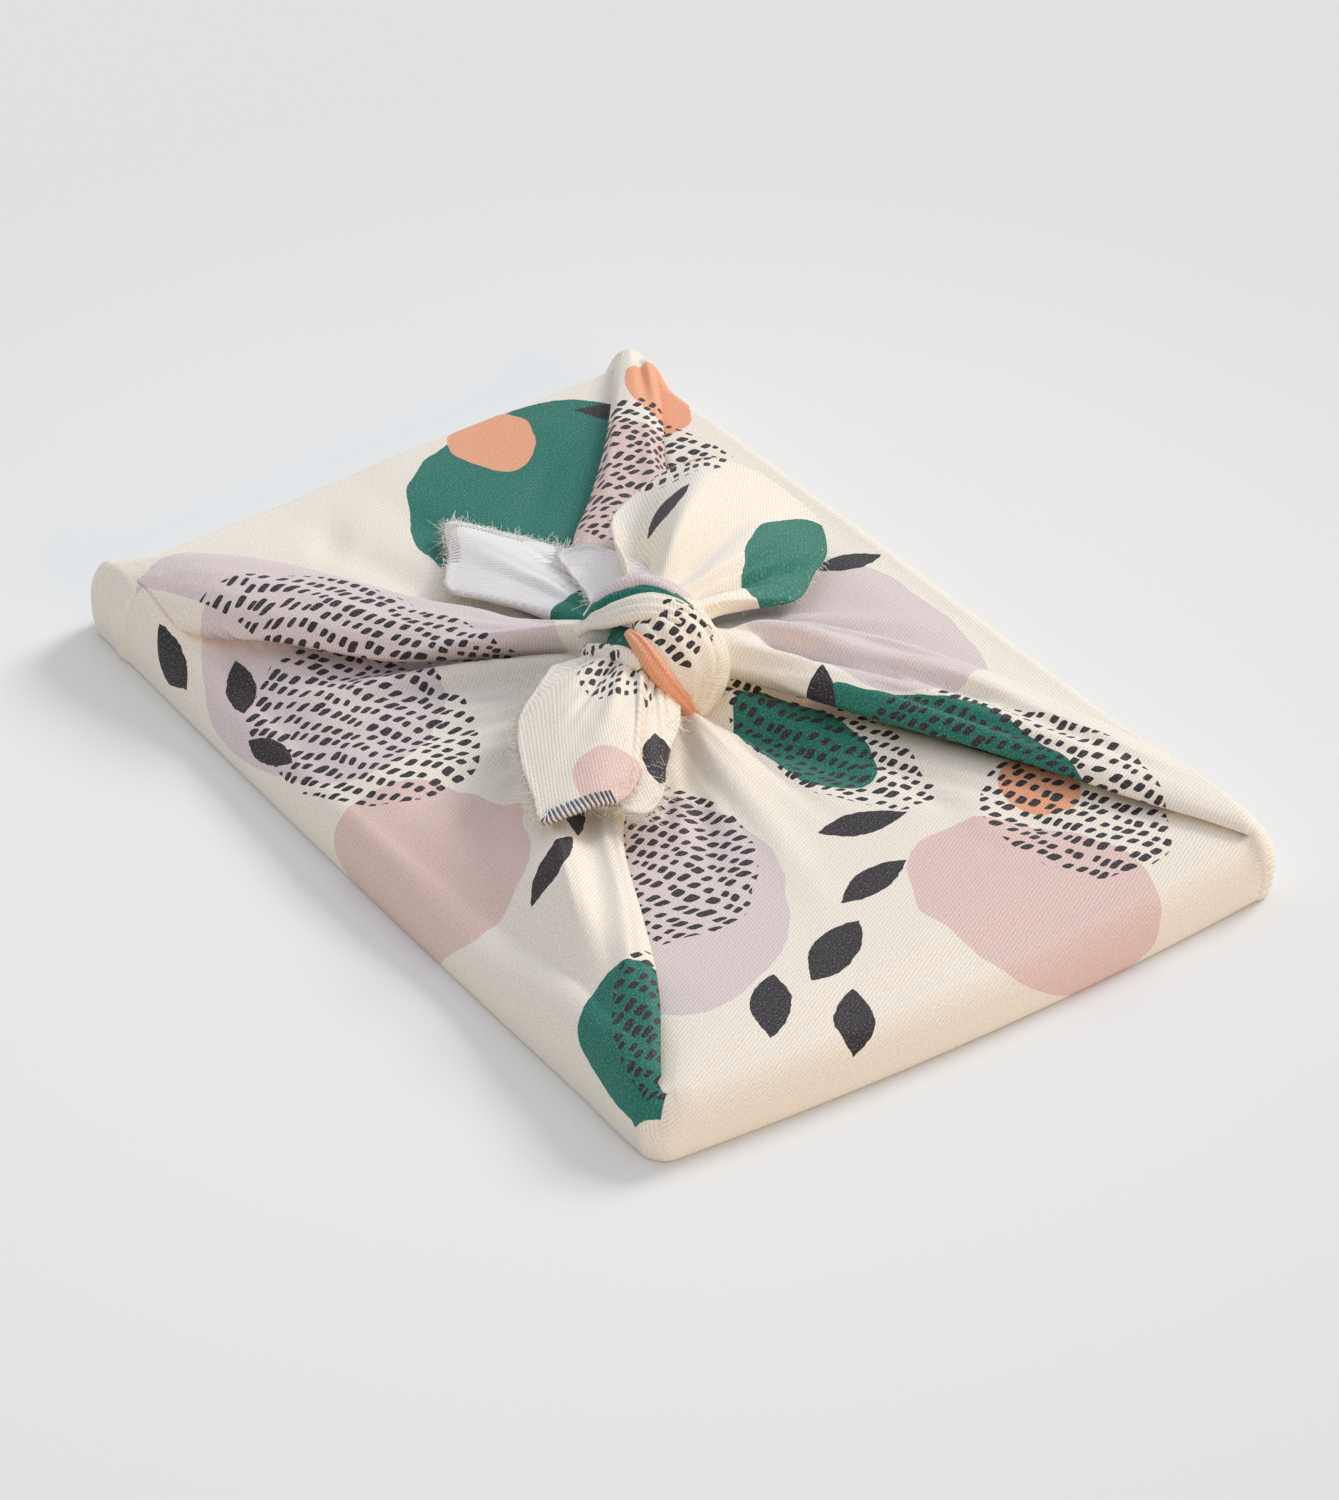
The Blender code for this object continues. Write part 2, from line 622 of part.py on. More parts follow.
def mesh_object(name, points, faces):
    mesh = bpy.data.meshes.new(name)
    settled = (np.asarray(points) + (*SETTLE, 0.0)) * MM
    mesh.from_pydata([tuple(point) for point in settled], [], faces)
    mesh.validate()
    obj = bpy.data.objects.new(name, mesh)
    bpy.context.scene.collection.objects.link(obj)
    return obj


def make_body():
    rings = body_rings()
    middle = rings[0].mean(axis=0)
    return closed_tube("furoshiki_cloth", rings, middle, (0.0, 0.0, 0.0))


def make_core():
    turn = math.radians(CORE_TURN)
    long_way = np.array([math.cos(turn), math.sin(turn), 0.0])
    cross_way = np.array([-math.sin(turn), math.cos(turn), 0.0])
    rings = []
    for lat in np.linspace(CORE_CAP, -CORE_CAP, CORE_RINGS):
        ring = []
        for lon in np.linspace(0, 2 * math.pi, CORE_SIDES, endpoint=False):
            flat = math.cos(math.radians(lat))
            offset = long_way * CORE_HALF_SIZES[0] * flat * math.cos(lon)
            offset = offset + cross_way * CORE_HALF_SIZES[1] * flat * math.sin(lon)
            offset[2] = CORE_HALF_SIZES[2] * math.sin(math.radians(lat))
            ring.append(np.array(CORE_CENTRE) + offset)
        rings.append(np.array(ring))
    up = np.array([0.0, 0.0, CORE_HALF_SIZES[2]])
    return closed_tube("knot_core", rings, CORE_CENTRE + up, CORE_CENTRE - up)


def unit(vectors):
    return vectors / np.linalg.norm(vectors, axis=-1, keepdims=True)


def make_band(name, rows):
    """A flattened roll along its path, lying flat on the core."""
    keys = np.arange(len(rows))
    at = np.linspace(0, len(rows) - 1, BAND_RINGS)
    path = np.stack([curve_through(keys, column(rows, BAND_COLUMNS, axis), at) for axis in "xyz"], axis=1)
    half_width = curve_through(keys, column(rows, BAND_COLUMNS, "half_width"), at)
    half_thick = curve_through(keys, column(rows, BAND_COLUMNS, "half_thick"), at)
    forward = unit(np.gradient(path, axis=0))
    outward = unit(path - np.array(CORE_CENTRE))
    aside = unit(np.cross(forward, outward))
    outward = np.cross(aside, forward)
    rings = []
    for i in range(BAND_RINGS):
        angles = np.linspace(0, 2 * math.pi, BAND_SIDES, endpoint=False)[:, None]
        ring = path[i] + aside[i] * half_width[i] * np.cos(angles)
        ring = ring - outward[i] * half_thick[i] * np.sin(angles)
        droop = BAND_DROOP * (half_width[i] * np.cos(angles)) ** 2 / (2 * CORE_HALF_SIZES[1])
        rings.append(ring - outward[i] * droop)
    return closed_tube(name, rings, path[0] - forward[0], path[-1] + forward[-1])


def make_end(name, neck, rim, belly):
    """A free end of the cloth: a leaf between its neck and its rim, as thick as the gathered cloth."""
    round_share = np.linspace(0, 1, END_STEPS_ROUND + 1)
    inner = through_points(neck, round_share)
    outer = through_points(rim, round_share)
    out_share = np.linspace(0, 1, END_STEPS_OUT + 1)[:, None, None]
    leaf = inner * (1 - out_share) + outer * out_share
    rise = belly * np.sin(math.pi * out_share) * (1 - (2 * round_share[None, :, None] - 1) ** 2)
    leaf[..., 2:] += rise
    d_out, d_round = np.gradient(leaf, axis=0), np.gradient(leaf, axis=1)
    normal = unit(np.cross(d_round, d_out))
    normal *= np.sign(normal[..., 2].mean())
    upper, lower = leaf + normal * END_THICKNESS / 2, leaf - normal * END_THICKNESS / 2
    rows, cols = leaf.shape[:2]
    points = np.concatenate([upper.reshape(-1, 3), lower.reshape(-1, 3)])
    under = rows * cols
    faces = []
    for i in range(rows - 1):
        for j in range(cols - 1):
            a = i * cols + j
            faces.append((a, a + cols, a + cols + 1, a + 1))
            faces.append((under + a, under + a + 1, under + a + cols + 1, under + a + cols))
    border = list(range(cols))
    border += [i * cols + cols - 1 for i in range(1, rows)]
    border += [(rows - 1) * cols + j for j in range(cols - 2, -1, -1)]
    border += [i * cols for i in range(rows - 2, 0, -1)]
    for a, b in zip(border, border[1:] + border[:1]):
        faces.append((a, b, under + b, under + a))
    return mesh_object(name, points, faces)


def through_points(points, share):
    points = np.asarray(points, float)
    steps = np.linalg.norm(np.diff(points, axis=0), axis=1)
    keys = np.concatenate([[0.0], np.cumsum(steps)])
    at = share * keys[-1]
    return np.stack([curve_through(keys, points[:, axis], at) for axis in range(3)], axis=1)


def add_union(body, other):
    """Joins another closed shape to the cloth, and hides the helper."""
    other.hide_render = True
    other.display_type = "WIRE"
    union = body.modifiers.new(other.name, "BOOLEAN")
    union.operation = "UNION"
    union.solver = "EXACT"
    union.object = other


def cloth_material():
    material = bpy.data.materials.new("printed_cotton_sateen")
    material.use_nodes = True
    shader = material.node_tree.nodes["Principled BSDF"]
    shader.inputs["Base Color"].default_value = (0.83, 0.76, 0.66, 1.0)
    shader.inputs["Roughness"].default_value = 0.75
    return material


def face_out(obj):
    bm = bmesh.new()
    bm.from_mesh(obj.data)
    bmesh.ops.recalc_face_normals(bm, faces=bm.faces)
    bmesh.ops.triangulate(bm, faces=bm.faces)
    bm.to_mesh(obj.data)
    bm.free()


def main():
    for obj in list(bpy.data.objects):
        bpy.data.objects.remove(obj)
    body = make_body()
    helpers = [make_core()]
    helpers += [make_band(f"band_{i}", rows) for i, rows in enumerate(BANDS)]
    helpers += [make_end(f"end_{i}", *end) for i, end in enumerate(ENDS)]
    for obj in [body, *helpers]:
        face_out(obj)
    for helper in helpers:
        add_union(body, helper)
    body.data.materials.append(cloth_material())


main()
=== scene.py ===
# %% [markdown]
# # A furoshiki wrap
# One square of printed cotton sateen goes round a flat parcel. Its four corners come up at the parcel's
# corners, run to the middle as gathered arms and are knotted there. The free ends lie round the knot, as
# five leaves of cloth.
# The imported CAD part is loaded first, as a fixed frame that gives the place and the overall size.

import json
import math

import bmesh
import bpy
import numpy as np
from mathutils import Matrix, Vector, noise

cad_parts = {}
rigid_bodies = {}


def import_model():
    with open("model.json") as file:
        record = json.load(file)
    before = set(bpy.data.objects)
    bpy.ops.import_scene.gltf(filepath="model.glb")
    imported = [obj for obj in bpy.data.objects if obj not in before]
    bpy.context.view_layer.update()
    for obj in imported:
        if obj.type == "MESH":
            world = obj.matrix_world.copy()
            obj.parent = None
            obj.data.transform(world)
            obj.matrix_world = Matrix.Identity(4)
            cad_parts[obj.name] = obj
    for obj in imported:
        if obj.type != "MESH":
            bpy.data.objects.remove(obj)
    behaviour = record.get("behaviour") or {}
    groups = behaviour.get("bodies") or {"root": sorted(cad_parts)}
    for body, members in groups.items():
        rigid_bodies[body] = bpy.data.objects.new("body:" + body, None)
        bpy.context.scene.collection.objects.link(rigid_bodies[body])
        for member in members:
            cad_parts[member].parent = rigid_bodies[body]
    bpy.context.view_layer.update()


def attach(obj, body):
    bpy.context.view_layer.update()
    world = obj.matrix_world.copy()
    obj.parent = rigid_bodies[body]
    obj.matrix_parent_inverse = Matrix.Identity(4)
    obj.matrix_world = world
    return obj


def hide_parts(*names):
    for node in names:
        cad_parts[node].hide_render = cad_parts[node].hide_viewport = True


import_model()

# %% [markdown]
# ## Camera, floor and light
# The camera looks down at 37 degrees over the near corner, through a long lens, so the parcel's long sides
# stay nearly parallel. The light is a big soft window behind and to the right, a wide pale sky above it, a
# warm low light from the near right, which tints the short wall, and a fainter warm one from the left.

# %% Colour helper and camera
MM = 0.001
SETTLE = (1.11, -1.43)  # millimetres, the same small move as in the part, so that its box is centred
# Where the camera is: degrees round from -Y and up, metres away. Then what it aims at, and its lens.
CAMERA_ROUND, CAMERA_UP, CAMERA_DISTANCE = 54.87, 36.86, 1.2641
TARGET = Vector((0.0015 + SETTLE[0] * MM, 0.0036 + SETTLE[1] * MM, 0.0))
SENSOR_HEIGHT, FOCAL_LENGTH = 36.0, 115.2


def linear(hex_code, alpha=1.0):
    """An sRGB hex colour as the linear numbers that Blender's sockets take."""
    values = [int(hex_code[i : i + 2], 16) / 255 for i in (1, 3, 5)]
    return (*[v / 12.92 if v <= 0.04045 else ((v + 0.055) / 1.055) ** 2.4 for v in values], alpha)


def toward(degrees_round, degrees_up):
    """The direction at an angle round from -Y, anticlockwise from above, and an angle up from the floor."""
    a, e = math.radians(degrees_round), math.radians(degrees_up)
    return Vector((math.sin(a) * math.cos(e), -math.cos(a) * math.cos(e), math.sin(e)))


def aim(obj, place, target):
    obj.location = place
    obj.rotation_euler = (Vector(place) - Vector(target)).to_track_quat("Z", "Y").to_euler()


scene = bpy.context.scene
camera_data = bpy.data.cameras.new("camera")
camera = bpy.data.objects.new("camera", camera_data)
scene.collection.objects.link(camera)
aim(camera, TARGET + toward(CAMERA_ROUND, CAMERA_UP) * CAMERA_DISTANCE, TARGET)
camera_data.sensor_fit = "VERTICAL"
camera_data.sensor_height = SENSOR_HEIGHT
camera_data.lens = FOCAL_LENGTH
scene.camera = camera
print("camera at", [round(v, 3) for v in camera.location])

# %% Helpers for nodes and materials
def add_node(tree, kind, links=None, **settings):
    """One node with its settings, and its inputs set to values or joined to other nodes' outputs."""
    node = tree.nodes.new(kind)
    for name, value in settings.items():
        setattr(node, name, value)
    for name, value in (links or {}).items():
        socket = node.inputs[name]
        if isinstance(value, bpy.types.NodeSocket):
            tree.links.new(value, socket)
        else:
            socket.default_value = value
    return node


def new_material(name, constants):
    """A material, its node tree and its shader, with the shader's constant inputs set."""
    material = bpy.data.materials.new(name)
    material.use_nodes = True
    shader = material.node_tree.nodes["Principled BSDF"]
    for key, value in constants.items():
        shader.inputs[key].default_value = value
    return material, material.node_tree, shader


# %% Floor
bpy.ops.object.select_all(action="DESELECT")
bpy.ops.mesh.primitive_plane_add(size=8.0)
floor = bpy.context.object
floor.name = "floor"

# Matt painted board: a dull even surface, with a painted pool of light: paler in the middle where the wrap
# lies.
board, tree, shader = new_material("matt_painted_board", {"Roughness": 0.9, "Specular IOR Level": 0.1})
spot = add_node(tree, "ShaderNodeTexCoord").outputs["Object"]
away = add_node(tree, "ShaderNodeVectorMath", {0: spot}, operation="LENGTH").outputs["Value"]
fade = add_node(
    tree,
    "ShaderNodeMapRange",
    {"Value": away, "From Min": 0.14, "From Max": 0.36, "To Min": 0.0, "To Max": 1.0},
    interpolation_type="SMOOTHSTEP",
).outputs["Result"]
# The board's colour is paler near the middle and darker further out: a painted pool of light.
painted_light_pool = add_node(
    tree, "ShaderNodeMix", {0: fade, 6: linear("#ebedec"), 7: linear("#e4e5e4")}, data_type="RGBA"
).outputs[2]
tree.links.new(painted_light_pool, shader.inputs["Base Color"])
floor.data.materials.append(board)

# %% World and lights
scene.view_settings.view_transform = "Standard"
world = bpy.data.worlds.new("studio")
scene.world = world
world.use_nodes = True
background = world.node_tree.nodes["Background"]
background.inputs["Color"].default_value = linear("#ecf1f9")
background.inputs["Strength"].default_value = 0.55

# Each light is far off and wide, so the floor is lit evenly: where from, in degrees round from -Y and up,
# how wide it looks in degrees, its strength and its colour. Its distance in metres makes no difference.
LIGHTS = (
    ("window", 188.0, 35.0, 22.0, 1.75, "#fdf8f0"),
    ("sky", 230.0, 72.0, 80.0, 0.5, "#dfe9ff"),
    ("warm_side", 92.0, 9.0, 40.0, 1.15, "#ffc680"),
    ("warm_bounce", 300.0, 8.0, 60.0, 0.36, "#ffcf94"),
)
LIGHT_DISTANCE = 2.0
for name, degrees_round, degrees_up, wide, strength, colour in LIGHTS:
    light_data = bpy.data.lights.new(name, "SUN")
    light_data.angle = math.radians(wide)
    light_data.energy = strength
    light_data.color = linear(colour)[:3]
    light = bpy.data.objects.new(name, light_data)
    scene.collection.objects.link(light)
    aim(light, toward(degrees_round, degrees_up) * LIGHT_DISTANCE, (0.0, 0.0, 0.0))
print("lights:", [row[0] for row in LIGHTS])

# %% [markdown]
# ## The printed sateen
# The cloth is cotton sateen: a warm white weave with a soft shine, and fine slanting lines under a
# millimetre apart. It is printed all over. The print here is a plain one of its own: large round fields in
# green and pinks, areas of small dots and a few simple leaves. Every motif is drawn by nodes from the piece's
# UV map, which holds the place on the flat cloth in metres, so motifs bend, squeeze and fold away with it.

# %% [markdown]
# ### The motifs
# Each row is one motif on the flat cloth, whose middle is 0, 0 and whose half side is 350 mm. Later rows are
# printed over earlier ones, as a screen printer lays down one colour after another.

# %% Tables of the print
CREAM, PALE_PINK, DUSTY_PINK, REVERSE = "#f4eddf", "#dfd2d1", "#e6cac2", "#f2f0ee"
GREEN, PEACH, CHARCOAL = "#0f7565", "#f0ab84", "#29252b"
# Colour, middle along u and v, radii along u and v, turn in degrees.
FIELDS = (
    # Round the far left panel and the left arm.
    (PALE_PINK, -232, -66, 62, 34, -34),
    (GREEN, -196, 30, 46, 34, 60),
    (DUSTY_PINK, -252, 34, 22, 17, 10),
    (PEACH, -168, 34, 15, 12, 30),
    # Round the near left panel and the near arm.
    (PALE_PINK, -58, -140, 44, 30, 12),
    (DUSTY_PINK, 20, -122, 30, 26, 0),
    (GREEN, 118, -128, 26, 20, 0),
    (PEACH, 66, -178, 16, 11, 30),
    # Round the near right panel.
    (PALE_PINK, 222, -48, 44, 32, 24),
    (DUSTY_PINK, 172, 30, 34, 26, -20),
    (GREEN, 254, 20, 24, 13, -8),
    (PEACH, 206, 58, 12, 10, 20),
    # Round the far right panel, the right arm and the far arm.
    (GREEN, 72, 172, 40, 22, -36),
    (PALE_PINK, 8, 150, 44, 30, 0),
    (DUSTY_PINK, -76, 170, 36, 28, 30),
    (PEACH, -112, 128, 16, 14, 0),
    # On the knot and the free ends.
    (GREEN, -244, 262, 40, 12, 0),
    (PALE_PINK, -206, 222, 15, 12, 0),
    (PEACH, 279, -330, 26, 9, 0),
    (GREEN, -262, 222, 26, 20, 0),
    (GREEN, -332, 304, 22, 27, -16),
    (PEACH, -282, 330, 9, 7, 0),
    (DUSTY_PINK, 320, -214, 16, 12, 20),
    (REVERSE, -300, -212, 60, 42, 0),
    (REVERSE, -200, -242, 34, 30, 0),
    (GREEN, -300, -262, 30, 15, 0),
)
# Middle, radii and turn of each area of small dots.
DOTTED = (
    (-242, -76, 50, 26, -34), (-250, 30, 28, 30, 0), (-34, -138, 36, 26, 0), (122, -140, 30, 24, 0),
    (238, -44, 34, 30, 20), (192, 58, 26, 22, 0), (84, 158, 40, 26, -36), (-74, 158, 44, 34, 20),
    (272, 264, 22, 8, 0), (230, -222, 16, 8, 0), (302, -254, 15, 12, 0), (-276, 326, 17, 15, 0),
    (250, 24, 34, 17, -8),
)
# Middle, half length, half width and turn of each leaf.
LEAVES = (
    (182, -24, 13, 5.5, 62), (198, 0, 12, 4.5, 80), (174, -48, 11, 5.0, 40), (218, 12, 12, 4.5, 104),
    (160, -34, 10, 5.0, 30), (36, -158, 12, 4.0, 30), (52, -140, 11, 4.0, 64), (84, -160, 12, 4.0, -20),
    (-70, -123, 10, 4.0, 24), (-92, -112, 10, 5.0, 14), (-44, -116, 9, 3.6, -12),
    (-178, 70, 12, 4.0, -50), (-196, 84, 11, 4.0, -20), (40, 186, 11, 4.0, 40), (110, 140, 11, 4.0, -30),
    (-20, 128, 11, 4.0, 100), (306, -128, 9, 4.6, 82), (-284, 300, 9, 3.4, 120),
)

# %% [markdown]
# ### The material
# An ellipse's mask is the length of the place in the ellipse's own frame, under 1. A leaf's mask is pointed
# at both ends. The dots are cells of a slightly uneven lattice. Small noise moves the place first, so that
# edges look cut by hand, a millimetre or so off true. Threads are slanting bands of height in the bump.

# %% Build the sateen
# Sateen's long floats give it a soft, low shine, and its loft a faint sheen at grazing angles.
SATEEN_SHINE = {
    "Roughness": 0.62,
    "Sheen Weight": 0.1,
    "Sheen Roughness": 0.45,
    "Specular IOR Level": 0.35,
}
DOT_LATTICE, DOT_TURN = (0.34, 0.20, 1), 0.3  # cells per millimetre: a dot every 3 by 5 mm
DOT_SIZE, DOT_SIZE_RANGE = 0.245, 0.10  # radius in cells, and how much more the largest have
WEAVE_SCALE, WEAVE_TURN = 0.36, 27  # the node's bands are 2 pi / 20 / scale apart, so 0.87 mm
SLUB_SCALE = 1.9  # uneven places in the threads, about half a millimetre across


def printed_sateen(name):
    material, tree, shader = new_material(name, SATEEN_SHINE)

    def vector(operation, inputs):
        return add_node(tree, "ShaderNodeVectorMath", inputs, operation=operation).outputs

    def number(operation, a, b=0.0, c=0.0):
        return add_node(tree, "ShaderNodeMath", {0: a, 1: b, 2: c}, operation=operation).outputs[0]

    def uneven(scale, detail):
        inputs = {"Vector": in_mm, "Scale": scale, "Detail": detail}
        return add_node(tree, "ShaderNodeTexNoise", inputs, noise_dimensions="2D").outputs

    def wobble(scale, amount, place):
        centred = vector("SUBTRACT", {0: uneven(scale, 1.0)["Color"], 1: (0.5, 0.5, 0.5)})[0]
        return vector("ADD", {0: place, 1: vector("SCALE", {0: centred, "Scale": amount})[0]})[0]

    flat = add_node(tree, "ShaderNodeUVMap", uv_map="flat_cloth").outputs["UV"]
    in_mm = vector("SCALE", {0: flat, "Scale": 1 / MM})[0]

    place = wobble(0.35, 0.5, wobble(0.05, 6.0, in_mm))
    leaf_place = wobble(0.4, 0.7, wobble(0.06, 2.0, in_mm))

    def own_frame(place, u, v, size_u, size_v, turn):
        inputs = {"Vector": place, "Location": (u, v, 0), "Scale": (size_u, size_v, 1)}
        inputs["Rotation"] = (0, 0, math.radians(turn))
        return add_node(tree, "ShaderNodeMapping", inputs, vector_type="TEXTURE").outputs[0]

    def ellipse(row):
        flatted = vector("MULTIPLY", {0: own_frame(place, *row), 1: (1, 1, 0)})[0]
        return number("LESS_THAN", vector("LENGTH", {0: flatted})["Value"], 1.0)

    def leaf(row):
        parts = add_node(tree, "ShaderNodeSeparateXYZ", {0: own_frame(leaf_place, *row)})
        bent = number("MULTIPLY", parts.outputs["X"], parts.outputs["X"])
        return number("LESS_THAN", number("ADD", bent, number("ABSOLUTE", parts.outputs["Y"])), 1.0)

    def over(below, colour, mask):
        mix = add_node(tree, "ShaderNodeMix", {0: mask, 6: below, 7: linear(colour)}, data_type="RGBA")
        return mix.outputs[2]

    def any_of(masks):
        joined = masks[0]
        for mask in masks[1:]:
            joined = number("MAXIMUM", joined, mask)
        return joined

    ground = linear(CREAM)
    for colour, *row in FIELDS:
        ground = over(ground, colour, ellipse(row))
    lattice = {"Vector": place, "Rotation": (0, 0, DOT_TURN), "Scale": DOT_LATTICE}
    lattice = add_node(tree, "ShaderNodeMapping", lattice).outputs[0]
    cells = add_node(
        tree,
        "ShaderNodeTexVoronoi",
        {"Vector": lattice, "Scale": 1.0, "Randomness": 0.36, "Exponent": 3.4},
        voronoi_dimensions="2D",
        distance="MINKOWSKI",
    ).outputs
    random = add_node(tree, "ShaderNodeSeparateColor", {0: cells["Color"]}).outputs[0]
    size = number("MULTIPLY_ADD", random, DOT_SIZE_RANGE, DOT_SIZE)
    inside = number("LESS_THAN", cells["Distance"], size)
    dots = number("MULTIPLY", inside, any_of([ellipse(row) for row in DOTTED]))
    ground = over(ground, CHARCOAL, dots)
    ground = over(ground, CHARCOAL, any_of([leaf(row) for row in LEAVES]))

    # Threads: slanting lines, a little uneven along their length.
    slant = {"Vector": in_mm, "Rotation": (0, 0, math.radians(WEAVE_TURN))}
    slanted = add_node(tree, "ShaderNodeMapping", slant).outputs[0]
    lines = add_node(
        tree,
        "ShaderNodeTexWave",
        {"Vector": slanted, "Scale": WEAVE_SCALE, "Distortion": 1.4, "Detail": 2.0, "Detail Scale": 2.4},
        bands_direction="X",
    ).outputs["Fac"]
    slubs = uneven(SLUB_SCALE, 2.0)["Fac"]
    # On the dark inks the raised threads show a little paler.
    ground = over(ground, REVERSE, number("MULTIPLY", number("SUBTRACT", slubs, 0.52), 0.55))
    # Painted shade: the hollows between the threads are a little darker than the threads.
    painted_weave_shade, speck = number("MULTIPLY_ADD", lines, 0.15, 0.87), number("MULTIPLY_ADD", slubs, 0.44, 0.78)
    toned = vector("SCALE", {0: ground, "Scale": number("MULTIPLY", painted_weave_shade, speck)})[0]
    tree.links.new(toned, shader.inputs["Base Color"])
    height = number("ADD", lines, number("MULTIPLY", slubs, 0.7))
    bump = add_node(tree, "ShaderNodeBump", {"Height": height, "Strength": 0.45, "Distance": 0.12 * MM})
    tree.links.new(bump.outputs[0], shader.inputs["Normal"])
    return material


sateen = printed_sateen("printed_cotton_sateen")
print("print:", len(FIELDS), "fields,", len(DOTTED), "dotted areas and", len(LEAVES), "leaves")

# %% [markdown]
# ## The wrapped body
# On the real thing the cloth is smooth over the parcel's flat top, drawn up a little towards the knot, and
# gathered along the diagonals. The shape is built in code as one grid of rings, from the middle of the top
# outward, over the rim, down the walls and under. Two kinds of form move the grid: arms, which lift the cloth
# and turn it under itself in a long fold, and creases, which are soft ridges and troughs. A simulation would
# not tie this knot or lay these folds in the same places, so they are given one by one, in millimetres.

# %% Sizes of the parcel and its arms
LENGTH, WIDTH, HEIGHT = 270.0, 184.0, 18.0
CORNER_RADIUS, RIM_RADIUS, FOOT_RADIUS = 5.0, 4.0, 1.2
WALL_BULGE = 1.2
# How far each side bows out, and each corner is off a true rectangle. Sides and corners go anticlockwise,
# from the side along -Y and the corner at its left end.
SIDE_BOWS = (1.5, 4.5, 4.5, 4.5)
CORNER_SHIFTS = ((0.0, -1.0), (-0.5, -1.5), (4.0, 2.5), (-7.0, -0.5))
# How far each side's top edge stands in from its foot, and drops below the top: at five places along it.
ALONG_SIDE = (-1.0, -0.5, 0.0, 0.5, 1.0)
SIDE_LEANS = (
    (0.5, 6.0, 3.5, 8.0, 3.0),
    (3.0, 2.5, 3.0, 2.5, 1.0),
    (1.0, 2.5, 3.0, 2.5, 1.0),
    (1.0, 3.0, 3.5, 3.0, 0.5),
)
SIDE_DROPS = (
    (0.0, 5.0, 3.0, 6.0, 2.5),
    (2.0, 2.0, 2.5, 2.0, 1.0),
    (0.5, 1.5, 2.0, 1.5, 0.5),
    (0.5, 1.5, 2.0, 2.0, 0.0),
)
DROP_WIDTH = 22.0
LEAN_ROOMS = (60.0, 54.0, 60.0, 54.0)
# The wall's section from the rim to the foot is a curve through these shares of the way out and down.
OUT_CONTROLS, DOWN_CONTROLS = (0.0, 0.5, 0.92, 1.0), (0.0, 0.0, 0.28, 1.0)
# An arm laps over the panel on one side of it, and the lap goes on down the wall.
LAP_SIDES, LAP_STEP = (1, 1, -1, 1), 1.5
# Upright pleats in the wall below the arms: which arm, place and width in its half widths, height.
CORNER_PLEATS = (
    (0, -0.7, 0.8, -0.9), (0, 0.2, 0.7, -1.1), (0, 0.75, 0.5, 0.5), (1, -0.5, 0.8, -0.6),
    (2, 0.3, 0.8, -0.7), (3, -0.5, 0.7, -1.2), (3, 0.35, 0.6, -0.9),
)
TENT_RISE, TENT_REACH = 6.5, 34.0
# Each arm, at places along it: how far aside its middle is, its half width, how high it rises, and how far
# the cloth is tucked under on either side.
ARM_COLUMNS = ("from_knot", "middle", "half", "rise", "tuck_before", "tuck_after")
LEFT_ARM = (
    (8, -2, 7, 12, 0, 0), (25, -3, 6, 12, 2, 2), (45, -1.5, 9.5, 11, 3, 4), (70, 3, 14, 11, 4, 6),
    (100, 4.5, 17.5, 11.5, 4, 7), (125, 5, 17, 11, 3, 6), (146, 2, 11, 8, 1, 3), (160, 0.5, 6, 4.5, 0, 2),
    (170, 0, 4, 2, 0, 1),
)
NEAR_ARM = (
    (8, -4, 8, 8, 0, 0), (30, -14, 12, 9, 0, 3), (63, -24, 15, 10, 0, 5), (100, -22, 15, 10, 0, 5),
    (130, -15, 12, 7, 0, 4), (152, -8, 7, 4.5, 0, 3), (166, -3, 4, 2.5, 0, 1.5),
)
RIGHT_ARM = (
    (8, 9, 8.5, 11, 0, 0), (20, 16, 11, 13, 4, 1), (45, 21, 16.5, 12.5, 7, 1), (75, 21, 17.5, 10.5, 7, 1),
    (105, 16.5, 14.5, 8, 5, 1), (130, 11.5, 12.5, 6, 3.5, 0.5), (150, 5.5, 8, 4.5, 3, 0),
    (166, 1, 4, 2.5, 1.5, 0),
)
FAR_ARM = (
    (8, 6, 8, 10, 0, 0), (35, 9, 7, 10, 1.5, 3), (65, 7, 14, 9, 2.5, 4), (82, 5, 12, 8.5, 3, 4),
    (110, 2.5, 9, 8, 2.5, 4), (130, 1, 8, 7, 2, 3), (150, 0, 6.5, 7, 1, 2.5), (166, -1, 4.5, 5, 0.5, 1),
)
# The arms' shared section, at places across it in half widths: how far out the cloth is, how much of the tuck
# it takes, and how much of the rise.
SECTION = (
    (0.00, 0.00, 0.00, 1.00), (0.45, 0.52, 0.00, 0.94), (0.72, 0.84, 0.00, 0.74),
    (0.88, 1.00, 0.00, 0.44), (0.99, 0.98, 0.40, 0.22), (1.10, 0.96, 1.00, 0.12),
    (1.20, 1.00, 0.95, 0.02), (1.40, 1.20, 0.20, 0.00), (1.60, 1.60, 0.00, 0.00),
)
SECTION_END, FULL_TUCK = 1.60, 1.5

# %% [markdown]
# ### Creases and dents
# The large folds and all the dents are in the CAD solid too. The other rows are finer folds, which fan out
# from the knot and run along the arms, 3 to 9 mm wide and most of them about a millimetre high or deep.

# %% Tables of creases
ARM_FADE_IN = 25.0
